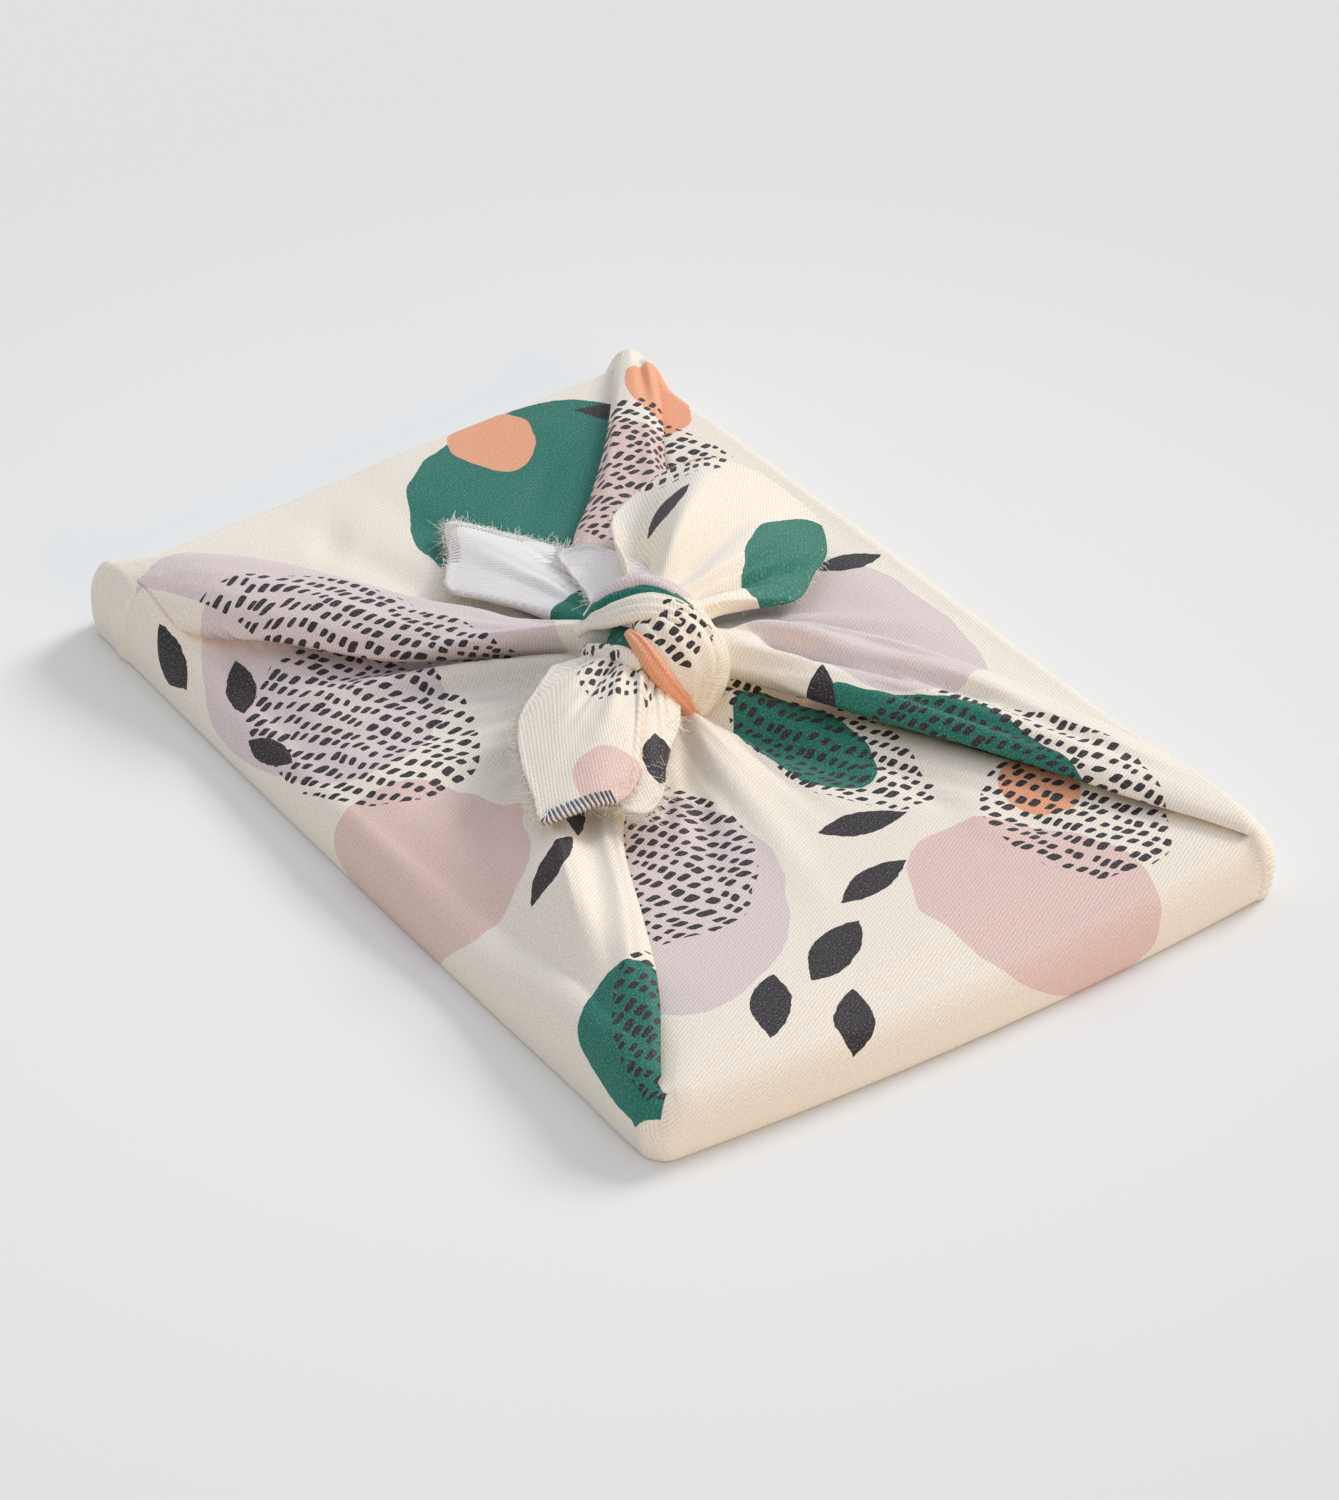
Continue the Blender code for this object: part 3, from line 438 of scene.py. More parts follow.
# Which arm, start and end along it, place aside at each of them, width, height, and its lean: where in its
# width the line lies, from 0 to 1.
ARM_CREASES = (
    (0, 20, 110, -4, -2, 9, -1.2, 0.5),
    (0, 60, 160, 8, 4, 8, 0.8, 0.5),
    (1, 30, 160, -19, -17, 15, -4.2, 0.5),
    (2, 6, 120, 16, 23, 12, -3.6, 0.5),
    (2, 6, 110, 16.5, 23, 5, -1.6, 0.5),
    (2, 60, 160, 22, 8, 9, -2.0, 0.5),
    (3, 60, 160, -8, -2, 7, -1.8, 0.5),
    (3, 30, 130, 7, 3, 7, -1.4, 0.4),
    (0, 14, 84, 0, 5, 4, -0.8, 0.4),
    (0, 14, 70, -5, -7, 3.5, -0.7, 0.5),
    (0, 70, 150, -2, 1, 7, -0.5, 0.5),
    (1, 70, 150, -11, -8, 6, -0.7, 0.5),
    (2, 12, 80, 7, 12, 4, -0.9, 0.5),
    (2, 12, 92, 26, 34, 6, -1.2, 0.5),
    (2, 60, 140, 10, 8, 6, -0.6, 0.5),
    (0, 12, 56, 3, 8, 3, -0.7, 0.5),
    (1, 12, 60, -8, -16, 4, -0.9, 0.5),
    (1, 12, 70, -2, -10, 4, 0.8, 0.5),
    (1, 44, 150, -13, -10, 3.5, -1.2, 0.5),
    (1, 50, 140, -29, -25, 5, 0.9, 0.5),
    (2, 10, 60, 12, 16, 3, -0.8, 0.5),
    (2, 12, 76, 20, 28, 4, 0.8, 0.5),
    (2, 40, 150, 12, 5, 3, -1.5, 0.6),
    (3, 50, 150, 2, 0, 4, -0.9, 0.6),
    (3, 70, 160, 12, 5, 4, 0.7, 0.5),
    (3, 124, 170, -2, -1, 5, -2.4, 0.5),
)
CREASE_FADE_IN, CREASE_EARLY = 15.0, 0.3
# Direction from the knot in degrees at the inner and outer end, start and end, width, height, and lean.
CREASES = (
    (-140, -122, 12, 112, 13, 6.5, 0.6),
    (-112, -104, 30, 105, 14, -1.8, 0.5),
    (-93, -86, 18, 104, 17, -4.6, 0.55),
    (-72, -66, 20, 96, 15, 2.4, 0.5),
    (-20, -24, 16, 92, 13, -3.0, 0.5),
    (-6, -10, 25, 120, 14, 1.6, 0.5),
    (24, 18, 8, 90, 17, -5.2, 0.6),
    (29, 29, 50, 125, 10, -1.8, 0.6),
    (104, 78, 10, 96, 15, 6.0, 0.5),
    (62, 60, 30, 100, 12, -1.8, 0.5),
    (118, 104, 40, 110, 14, -2.0, 0.5),
    (-163, -166, 60, 150, 19, -1.6, 0.5),
    (-178, -176, 50, 150, 17, -1.6, 0.5),
    (19, 15, 8, 58, 9, -2.2, 0.5),
    (-30, -32, 14, 74, 6, -1.2, 0.5),
    (-14, -12, 14, 84, 6, -1.0, 0.4),
    (-1, 1, 14, 70, 5, 0.8, 0.5),
    (8, 5, 14, 90, 6, -1.3, 0.6),
    (14, 11, 14, 66, 5, 0.8, 0.5),
    (52, 48, 14, 64, 5, -1.2, 0.5),
    (72, 66, 16, 60, 5, 0.8, 0.5),
    (92, 88, 18, 70, 6, -1.2, 0.5),
    (128, 122, 20, 80, 6, -1.2, 0.5),
    (156, 152, 24, 84, 6, -1.2, 0.5),
    (170, 168, 26, 92, 7, -1.0, 0.5),
    (-172, -170, 24, 80, 6, 0.9, 0.5),
    (-156, -158, 22, 90, 6, -1.3, 0.5),
    (-126, -116, 16, 80, 5, -1.1, 0.5),
    (-116, -112, 16, 66, 5, 0.9, 0.5),
    (-102, -99, 18, 78, 6, -1.1, 0.5),
)
# Middle, direction in degrees, half length, width and height.
DENTS = (
    (74, 33, 8, 20, 12, -2.2), (98, 48, 22, 16, 9, -1.8), (92, 36, 14, 18, 8, 1.2),
    (116, 58, 25, 10, 7, 1.2), (36, -20, -38, 16, 12, -2.0), (-112, -30, 150, 22, 14, -1.4),
    (-96, 30, 128, 26, 15, -1.2), (14, -70, -60, 18, 13, -1.6), (-30, -74, -118, 16, 12, -1.2),
    (60, 76, 18, 22, 12, -1.2),
)
# Wavelength and height of each size of waves.
PUCKERS = ((46.0, 0.55), (19.0, 0.22), (8.0, 0.07))

# %% [markdown]
# ### Curves and arms
# A smooth curve through a table's values is enough for every form here. An arm is read at a place along it,
# and its section says how far the cloth moves sideways and up. Where the tuck is deep, the cloth passes back
# under itself, which is what gives a fold its dark line.

# %% Functions of the form
def smooth_step(value, low, high):
    share = np.clip((value - low) / (high - low), 0.0, 1.0)
    return share * share * (3.0 - 2.0 * share)


def curve_through(keys, values, at):
    """A smooth curve through the values at the keys, read at other places."""
    keys = np.asarray(keys, float)
    values = np.asarray(values, float)
    slopes = np.gradient(values, keys)
    left = np.clip(np.searchsorted(keys, at) - 1, 0, len(keys) - 2)
    span = keys[left + 1] - keys[left]
    f = np.clip((at - keys[left]) / span, 0.0, 1.0)
    from_left = values[left] * (1 + 2 * f) * (1 - f) ** 2 + slopes[left] * span * f * (1 - f) ** 2
    from_right = values[left + 1] * f * f * (3 - 2 * f) - slopes[left + 1] * span * f * f * (1 - f)
    return from_left + from_right


def columns(names, rows):
    """A table's columns, each under its name."""
    return dict(zip(names, zip(*rows)))


class Arm:
    """One gathered arm: where it runs, and how it lifts and folds the cloth around it."""

    def __init__(self, corner_x, corner_y, rows):
        self.reach = math.hypot(LENGTH, WIDTH) / 2
        self.along = np.array([corner_x * LENGTH, corner_y * WIDTH]) / (2 * self.reach)
        self.across = np.array([-self.along[1], self.along[0]])
        self.columns = columns(ARM_COLUMNS, rows)
        self.stations = self.columns["from_knot"]

    def read(self, name, s):
        return curve_through(self.stations, self.columns[name], s)

    def half_section(self, s, turn, tuck_name):
        """Sideways distance from the middle, and share of the rise, on one side of the crest."""
        tuck = np.maximum(self.read(tuck_name, s), 0.0)
        keys, *curves = zip(*SECTION)
        out, tucked, lift = (curve_through(keys, curve, turn) for curve in curves)
        folded = smooth_step(tuck, 0.0, FULL_TUCK)
        slope = 0.5 + 0.5 * np.cos(math.pi * turn / SECTION_END)
        sideways = self.read("half", s) * (folded * out + (1 - folded) * turn) - tuck * tucked
        return sideways, folded * lift + (1 - folded) * slope

    def place(self, x, y):
        """How far a point is along the arm and sideways from it."""
        return x * self.along[0] + y * self.along[1], x * self.across[0] + y * self.across[1]

    def shape(self, x, y):
        """How far the arm shifts a point of the flat top sideways, and how far it lifts it."""
        s, t = self.place(x, y)
        place = np.clip(s, self.stations[0], self.stations[-1])
        middle = self.read("middle", place)
        turn = (t - middle) / self.read("half", place)
        size = np.minimum(np.abs(turn), SECTION_END)
        out_before, lift_before = self.half_section(place, size, "tuck_before")
        out_after, lift_after = self.half_section(place, size, "tuck_after")
        sideways = np.where(turn < 0, middle - out_before, middle + out_after)
        lift = np.where(turn < 0, lift_before, lift_after) * self.read("rise", place)
        inside = (np.abs(turn) < SECTION_END) * smooth_step(s, 0.0, self.stations[0])
        return (sideways - t) * inside, lift * inside


# Anticlockwise from the left corner, as are the sides that follow them.
ARMS = (Arm(-1, -1, LEFT_ARM), Arm(1, -1, NEAR_ARM), Arm(1, 1, RIGHT_ARM), Arm(-1, 1, FAR_ARM))
SIDE_WAYS = ((1, 0), (0, 1), (-1, 0), (0, -1))
SIDE_LENGTHS = (LENGTH, WIDTH, LENGTH, WIDTH)
print("arms reach", round(ARMS[0].reach, 1), "mm from the knot")


# %% Creases, dents and puckers
def fold_line(aside, width, lean):
    """The height of a crease 1 high, at a distance from its middle: two soft slopes that meet at its lean."""
    share = aside / width + 0.5
    return smooth_step(share, 0.0, lean) * (1 - smooth_step(share, lean, 1.0))


def fading(distance, start, end, fade):
    """1 along a crease, and 0 past its ends."""
    return smooth_step(distance, start, start + fade) * (1 - smooth_step(distance, start + fade, end))


def side_places(x, y):
    """For each side in turn: the place along it from -1 to 1, and the distance in from it."""
    across, up = np.clip(x / (LENGTH / 2), -1, 1), np.clip(y / (WIDTH / 2), -1, 1)
    places = (across, up, -across, -up)
    inward = (WIDTH / 2 + y, LENGTH / 2 - x, WIDTH / 2 - y, LENGTH / 2 + x)
    return list(zip(places, inward))


def edge_drop(x, y):
    """The top curves down a little towards its edges."""
    drops = [
        curve_through(ALONG_SIDE, values, place) * (1 - smooth_step(inward, 0.0, DROP_WIDTH)) ** 2
        for values, (place, inward) in zip(SIDE_DROPS, side_places(x, y))
    ]
    return np.maximum.reduce(drops)


def leaned(x, y, amount):
    """Points of the plan moved in from each side's foot, as its wall leans."""
    moves = [
        amount * curve_through(ALONG_SIDE, values, place) * (1 - smooth_step(inward, 0.0, room))
        for values, (place, inward), room in zip(SIDE_LEANS, side_places(x, y), LEAN_ROOMS)
    ]
    return x - moves[1] + moves[3], y + moves[0] - moves[2]


def panel_height(x, y):
    """The cloth between the arms: flat, drawn up near the knot, creased and dented."""
    r = np.hypot(x, y)
    angle = np.degrees(np.arctan2(y, x))
    z = HEIGHT + TENT_RISE * np.exp(-((r / TENT_REACH) ** 2)) - edge_drop(x, y)
    for toward_in, toward_out, start, end, width, height, lean in CREASES:
        toward = toward_in + (toward_out - toward_in) * smooth_step(r, start, end)
        off = (angle - toward + 180.0) % 360.0 - 180.0
        across = fold_line(np.radians(off) * r, width, lean) * (np.abs(off) < 90)
        fade_in = CREASE_FADE_IN + start * (1 - CREASE_EARLY)
        z = z + height * across * fading(r, start * CREASE_EARLY, end, fade_in)
    for middle_x, middle_y, toward, half_length, width, height in DENTS:
        way = math.radians(toward)
        along = (x - middle_x) * math.cos(way) + (y - middle_y) * math.sin(way)
        aside = (y - middle_y) * math.cos(way) - (x - middle_x) * math.sin(way)
        z = z + height * fold_line(aside, width, 0.5) * fold_line(along, 2 * half_length, 0.5)
    return z


def arm_creases(x, y):
    """The folds that run along the arms."""
    z = np.zeros_like(x)
    for k, start, end, at_start, at_end, width, height, lean in ARM_CREASES:
        s, t = ARMS[k].place(x, y)
        at = at_start + (at_end - at_start) * smooth_step(s, start, end)
        z = z + height * fold_line(t - at, width, lean) * fading(s, start, end, ARM_FADE_IN)
    return z


def puckers(x, y):
    """Slight waves of cloth that nothing pulls quite flat."""
    z = np.zeros_like(x)
    for wavelength, height in PUCKERS:
        for i in range(x.size):
            spot = Vector((x.flat[i] / wavelength, y.flat[i] / wavelength, wavelength))
            z.flat[i] += height * noise.noise(spot)
    return z


def top_surface(x, y):
    """The finished top for points of a flat one: the panels, with the arms' folds on them."""
    shifts = [arm.shape(x, y) for arm in ARMS]
    new_x = x + sum(shift * arm.across[0] for arm, (shift, lift) in zip(ARMS, shifts))
    new_y = y + sum(shift * arm.across[1] for arm, (shift, lift) in zip(ARMS, shifts))
    lift = np.maximum.reduce([lift for shift, lift in shifts])
    height = panel_height(new_x, new_y) + lift + arm_creases(new_x, new_y) + puckers(x, y)
    return (*leaned(new_x, new_y, 1.0), height)


# %% [markdown]
# ### The grid of rings
# Points lie closest where the arms' folds are, so the folds come out crisp. Every point also remembers its
# place on the flat cloth: on an arm, the cloth's own length is added up across the section, from the panel
# that the arm belongs to. The two panels' cloths meet inside a fold, where the seam of the map is hidden.

# %% The grid
ARM_STEPS, PANEL_STEPS, RINGS = 64, 34, 170
WALL_STEPS, FOOT_STEPS = 17, 4
STRIDE = ARM_STEPS + PANEL_STEPS  # columns from one arm to the next
FIRST_RING = 0.08  # the innermost ring's share of the way out
# An arm's points take up at most this share of a side. They are fitted to its folds in a few steps, and no
# step moves them further than so many millimetres from where they started.
MOST_OF_SIDE, FIT_STEPS, MOST_FIT = 0.45, 4, 6.0
LAP_START, LAP_FOLD = -0.3, (0.98, 1.12)  # in half widths: where a lap is full, and where it steps back
LAP_LOST_DOWN, LAP_AT_FOOT = 0.6, 0.4  # share of a lap lost on the way down, and left at the foot
UNDERSIDE_RINGS = (0.8, 0.5, 0.2)
WALL_CLOTH = 22.0  # millimetres of cloth from the foot to the top
SEAM_TURNS = (1.17, 1.17, -1.17, 1.17)  # in half widths of each arm


def outline_point(share_x, share_y, grow):
    """The plan outline at a place on a sharp rectangle from -1 to 1 each way, grown outward."""
    core_x = np.clip(share_x * LENGTH / 2, CORNER_RADIUS - LENGTH / 2, LENGTH / 2 - CORNER_RADIUS)
    core_y = np.clip(share_y * WIDTH / 2, CORNER_RADIUS - WIDTH / 2, WIDTH / 2 - CORNER_RADIUS)
    off_x = share_x * LENGTH / 2 - core_x
    off_y = share_y * WIDTH / 2 - core_y
    size = np.hypot(off_x, off_y)
    out_x, out_y = off_x / size, off_y / size
    long_bow = np.where(share_y < 0, SIDE_BOWS[0], SIDE_BOWS[2])
    short_bow = np.where(share_x < 0, SIDE_BOWS[3], SIDE_BOWS[1])
    bow = short_bow * (1 - share_y**2) * np.abs(out_x) + long_bow * (1 - share_x**2) * np.abs(out_y)
    out = CORNER_RADIUS + grow + bow
    return core_x + out_x * out, core_y + out_y * out


def skewed(points):
    """Points of the wrap moved as its corners are off a true rectangle. The middle stays where it is."""
    share_x = np.clip(points[:, 0] / (LENGTH / 2), -1, 1)
    share_y = np.clip(points[:, 1] / (WIDTH / 2), -1, 1)
    moved = points.copy()
    for arm, shift in zip(ARMS, CORNER_SHIFTS):
        sign_x, sign_y = np.sign(arm.along)
        weight = (1 + sign_x * share_x) * (1 + sign_y * share_y) / 4
        weight = weight * np.maximum(np.abs(share_x), np.abs(share_y)) ** 2
        moved[:, 0] += weight * shift[0]
        moved[:, 1] += weight * shift[1]
    return moved


def section_turns():
    """Places across an arm, in half widths, that fall on the folds of its section."""
    half = [row[0] for row in SECTION]
    keys = [-place for place in half[:0:-1]] + half
    return np.interp(np.linspace(0, len(keys) - 1, ARM_STEPS + 1), np.arange(len(keys)), keys)


def arm_strip(k, rho):
    """The points of one ring that cross arm k, on the sharp rectangle in millimetres."""
    arm = ARMS[k]
    turns = section_turns()
    before, after = np.array(SIDE_WAYS[k - 1]), np.array(SIDE_WAYS[k])
    room_after, room_before = MOST_OF_SIDE * SIDE_LENGTHS[k], MOST_OF_SIDE * SIDE_LENGTHS[k - 1]
    s = max(rho * arm.reach, arm.stations[0])
    wanted = arm.read("middle", s) + arm.read("half", s) * turns
    corrected = wanted
    for _ in range(FIT_STEPS):
        pull_after = np.maximum(corrected, 0) / (rho * room_after * (after @ arm.across))
        pull_before = np.minimum(corrected, 0) / (rho * room_before * (before @ arm.across))
        along_after, along_before = room_after * np.tanh(pull_after), room_before * np.tanh(pull_before)
        corner = np.sign(arm.along) * (LENGTH / 2, WIDTH / 2)
        strip = corner + along_after[:, None] * after + along_before[:, None] * before
        flat = outline_point(strip[:, 0] * 2 / LENGTH, strip[:, 1] * 2 / WIDTH, -RIM_RADIUS)
        at, sideways = arm.place(flat[0] * rho, flat[1] * rho)
        at = np.clip(at, arm.stations[0], arm.stations[-1])
        missing = arm.read("middle", at) + arm.read("half", at) * turns - sideways
        corrected = np.clip(corrected + missing, wanted - MOST_FIT, wanted + MOST_FIT)
    return strip


def ring_shares(rho):
    """Places round the sharp rectangle for the ring at a share rho of the way out, close across the arms."""
    strips = [arm_strip(k, rho) for k in range(len(ARMS))]
    rings = []
    between = np.linspace(0, 1, PANEL_STEPS + 1)[1:-1, None]
    for k, strip in enumerate(strips):
        following = strips[(k + 1) % len(strips)]
        rings.append(strip)
        rings.append(strip[-1] * (1 - between) + following[0] * between)
    ring = np.concatenate(rings) / (LENGTH / 2, WIDTH / 2)
    # A panel that starts before its corner goes round it, not across.
    ring = ring / np.abs(ring).max(axis=1, keepdims=True)
    return ring[:, 0], ring[:, 1]


def bezier(controls, share):
    a, b, c, d = controls
    rest = 1 - share
    return a * rest**3 + 3 * b * rest**2 * share + 3 * c * rest * share**2 + d * share**3


def laps():
    """For each column, how far the wall stands out: a step at its arm's fold, a fade, and small pleats."""
    turns = section_turns()
    out = []
    for k, side in enumerate(LAP_SIDES):
        on_arm = smooth_step(turns * side, -SECTION_END, LAP_START)
        on_arm = (1 - smooth_step(turns * side, *LAP_FOLD)) * on_arm
        mine = [row[1:] for row in CORNER_PLEATS if row[0] == k]
        pleats = sum(height * fold_line(turns - turn, width, 0.5) for turn, width, height in mine)
        out += [LAP_STEP * on_arm + pleats, np.zeros(PANEL_STEPS - 1)]
    return np.concatenate(out)


def side_ring(share_x, share_y, grow, amount, z):
    return np.stack([*leaned(*outline_point(share_x, share_y, grow), amount), z], axis=1)


def body_rings():
    """Rings of points over the top, and then those round the rim, down the wall and under the foot."""
    top, side = [], []
    for rho in np.linspace(FIRST_RING, 1.0, RINGS):
        share_x, share_y = ring_shares(rho)
        flat_x, flat_y = outline_point(share_x, share_y, -RIM_RADIUS)
        top.append(np.stack(top_surface(flat_x * rho, flat_y * rho), axis=1))
    rim_z, all_laps = top[-1][:, 2], laps()
    for share in np.linspace(0, 1, WALL_STEPS + 1)[1:]:
        out, down = bezier(OUT_CONTROLS, share), bezier(DOWN_CONTROLS, share)
        lap = all_laps * out * (1 - LAP_LOST_DOWN * down)
        grow = RIM_RADIUS * (out - 1) + WALL_BULGE * math.sin(math.pi * down) + lap
        z = rim_z * (1 - down) + FOOT_RADIUS * down
        side.append(side_ring(share_x, share_y, grow, 1 - out, z))
    for angle in np.linspace(0, math.pi / 2, FOOT_STEPS + 1)[1:]:
        grow = -FOOT_RADIUS * (1 - math.cos(angle)) + all_laps * LAP_AT_FOOT * math.cos(angle)
        z = np.full_like(share_x, FOOT_RADIUS * (1 - math.sin(angle)))
        side.append(side_ring(share_x, share_y, grow, 0.0, z))
    for inward in UNDERSIDE_RINGS:
        side.append(side[-1] * (inward, inward, 1.0))
    return top, side


DOWN_THE_WALL = ((0, 1), (-1, 0), (0, -1), (1, 0))  # for each side, on the flat cloth


def unfolded(side, x, y):
    """Where a point of the top, seen from above, is on the flat cloth, for the panel of that side."""
    axes = zip(DOWN_THE_WALL[side], (LENGTH, WIDTH), (x, y))
    return np.stack([-way * (size + WALL_CLOTH) - at if way else at for way, size, at in axes], axis=-1)


def flat_places(points, side):
    """For every point of the top, its place on the flat cloth if it belongs to that side's panel."""
    x, y, z = points[..., 0], points[..., 1], points[..., 2]
    x, y = x.copy(), y.copy()
    for k, arm in enumerate(ARMS):
        if side not in (k, (k - 1) % 4):
            continue
        strip = slice(k * STRIDE, k * STRIDE + ARM_STEPS + 1)
        s, t = arm.place(x[:, strip], y[:, strip])
        steps = np.hypot(np.diff(t, axis=1), np.diff(z[:, strip], axis=1))
        added = np.concatenate([np.zeros_like(t[:, :1]), np.cumsum(steps, axis=1)], axis=1)
        if side == k:
            cloth_t = t[:, -1:] - (added[:, -1:] - added)
        else:
            cloth_t = t[:, :1] + added
        x[:, strip] = s * arm.along[0] + cloth_t * arm.across[0]
        y[:, strip] = s * arm.along[1] + cloth_t * arm.across[1]
    return unfolded(side, x, y)


# %% [markdown]
# ### Making the mesh
# The rings become quads that face outward. The middle of the top is under the knot, so a plain fan closes it.

# %% The body's mesh
def mesh_piece(name, points, faces, flat_map, material):
    """A smooth piece from points in millimetres, with its places on the flat cloth as a UV map in metres."""
    mesh = bpy.data.meshes.new(name)
    settled = (np.asarray(points, float) + (*SETTLE, 0.0)) * MM
    mesh.from_pydata(settled.tolist(), [], faces)
    layer = mesh.uv_layers.new(name="flat_cloth")
    layer.data.foreach_set("uv", (np.asarray(flat_map, float) * MM).ravel())
    mesh.polygons.foreach_set("use_smooth", [True] * len(mesh.polygons))
    mesh.materials.append(material)
    obj = bpy.data.objects.new(name, mesh)
    scene.collection.objects.link(obj)
    return obj


top, side = body_rings()
top_points = np.array(top)
all_points = np.concatenate([top_points, np.array(side)])
count = all_points.shape[1]
turns = section_turns()

# The side whose panel each column of faces belongs to.
owner = np.zeros(count, int)
for k in range(4):
    for j in range(STRIDE):
        on_arm = j < ARM_STEPS and (turns[j] + turns[j + 1]) / 2 < SEAM_TURNS[k]
        owner[k * STRIDE + j] = (k - 1) % 4 if on_arm else k

places = np.zeros((4, *all_points.shape[:2], 2))
rows = np.concatenate([top_points[-1:], np.array(side)])
down = np.cumsum(np.linalg.norm(np.diff(rows, axis=0), axis=2), axis=0)
for panel in range(4):
    on_top = flat_places(top_points, panel)
    way_down = np.array(DOWN_THE_WALL[panel])
    along = (rows[1:, :, :2] - rows[0, :, :2]) * np.abs(way_down[::-1])
    on_side = on_top[-1][None] + down[..., None] * way_down + along
    places[panel] = np.concatenate([on_top, on_side])

skew_points = np.array([skewed(ring) for ring in all_points])
faces, flat_map = [], []
rings_made = len(skew_points)
for i in range(rings_made - 1):
    for j in range(count):
        nxt = (j + 1) % count
        a, b = i * count + j, i * count + nxt
        faces.append((a, a + count, b + count, b))
        mine = places[owner[j]]
        flat_map += [mine[i, j], mine[i + 1, j], mine[i + 1, nxt], mine[i, nxt]]
middle, under = rings_made * count, rings_made * count + 1
for j in range(count):
    nxt = (j + 1) % count
    mine = places[owner[j]]
    faces.append((middle, j, nxt))
    flat_map += [mine[0, j], mine[0, j], mine[0, nxt]]
    base = (rings_made - 1) * count
    faces.append((under, base + nxt, base + j))
    flat_map += [mine[-1, j], mine[-1, nxt], mine[-1, j]]
body_points = np.concatenate([skew_points.reshape(-1, 3), [skew_points[0].mean(axis=0), (0, 0, 0)]])
body = mesh_piece("wrapped_body", body_points, faces, flat_map, sateen)
print("body:", len(faces), "faces,", np.round(np.ptp(body_points, axis=0), 1), "mm long, wide and high")

# %% [markdown]
# ## The knot
# The knot is a ball of cloth about 38 mm across. Its skin is a few broad folds, each wound over the last,
# and each fold carries finer pleats along its length, since a hand's breadth of cloth is squeezed into it. So
# each band is lofted along its path, flat on the ball, with its pleats as ridges and grooves across it.

# %% Tables of the knot
CORE_CENTRE, CORE_HALF_SIZES, CORE_TURN = (0.0, 0.0, 31.0), (15.5, 13.0, 12.5), 145.0
# The middle line of each band, x, y and z, with its half width and half thickness there.
MAIN_FOLD = (
    (-10, -3, 41.0, 6.0, 1.8), (-0.5, 0, 46.0, 8.0, 2.0), (7, 0.5, 45.0, 9.0, 2.2),
    (12, 2, 41.2, 9.5, 2.2), (15, 2.7, 36.5, 9.0, 2.2), (16, 2.5, 31.0, 7.0, 2.2),
    (15, 1.5, 25.5, 4.5, 2.0), (13, 0, 20.5, 2.5, 1.8),
)
OUTER_FOLD = (
    (2, 8, 42.5, 4.0, 1.6), (6.5, 12, 38.5, 5.0, 1.8), (10.5, 13, 33.5, 5.5, 2.0),
    (13.5, 11.5, 29.0, 5.0, 2.0), (15.5, 8.0, 25.0, 4.0, 1.8), (15.0, 3.5, 20.5, 2.5, 1.6),
)
TOP_STRIP = (
    (-16, -13.5, 35.0, 1.8, 1.4), (-12.5, -9.5, 39.5, 3.5, 1.6), (-7, -7.5, 44.0, 4.8, 1.8),
    (-3, -4.5, 46.8, 5.0, 2.0), (0.5, -0.5, 47.6, 5.2, 2.0), (4.5, 3.5, 46.5, 5.0, 2.0),
    (8, 6.5, 43.5, 4.5, 1.8), (10, 10, 38.5, 3.5, 1.6),
)
GREEN_PLEAT = (
    (-16, -12, 35.0, 2.0, 1.4), (-15.5, -6.5, 40.5, 3.0, 1.8), (-12.5, -1, 43.8, 3.5, 2.0),
    (-8, 3.5, 45.4, 3.5, 2.0), (-3, 6, 45.6, 3.5, 2.0), (3, 8.5, 43.5, 3.0, 1.8),
)
COLLAR = (
    (-18, -8, 36.0, 3.0, 1.8), (-17, -4, 41.0, 4.0, 2.2), (-14.5, 1.5, 44.8, 4.5, 2.4),
    (-11, 6, 45.4, 4.5, 2.4), (-5, 9.5, 44.0, 4.5, 2.4), (1, 12.5, 40.5, 4.0, 2.0),
    (4, 15, 34.0, 3.5, 2.0),
)
INNER_PLEAT = (
    (2, -9.5, 43.5, 1.4, 1.4), (7, -9.8, 43.0, 2.3, 1.7), (11.5, -9.4, 40.2, 2.7, 1.9),
    (15.2, -7.8, 36.0, 2.5, 1.8), (17, -4.6, 30.8, 2.2, 1.7), (16.5, -1, 24.5, 1.8, 1.6),
    (15.5, 0.5, 19.5, 1.2, 1.4),
)
NECK_ROLL = (
    (-14, -12, 27.0, 2.0, 1.6), (-9.5, -14, 32.5, 2.2, 1.8), (-1, -14.6, 37.5, 2.4, 1.8),
    (5, -13.4, 39.6, 2.4, 1.8), (10, -11.4, 39.0, 2.0, 1.6),
)
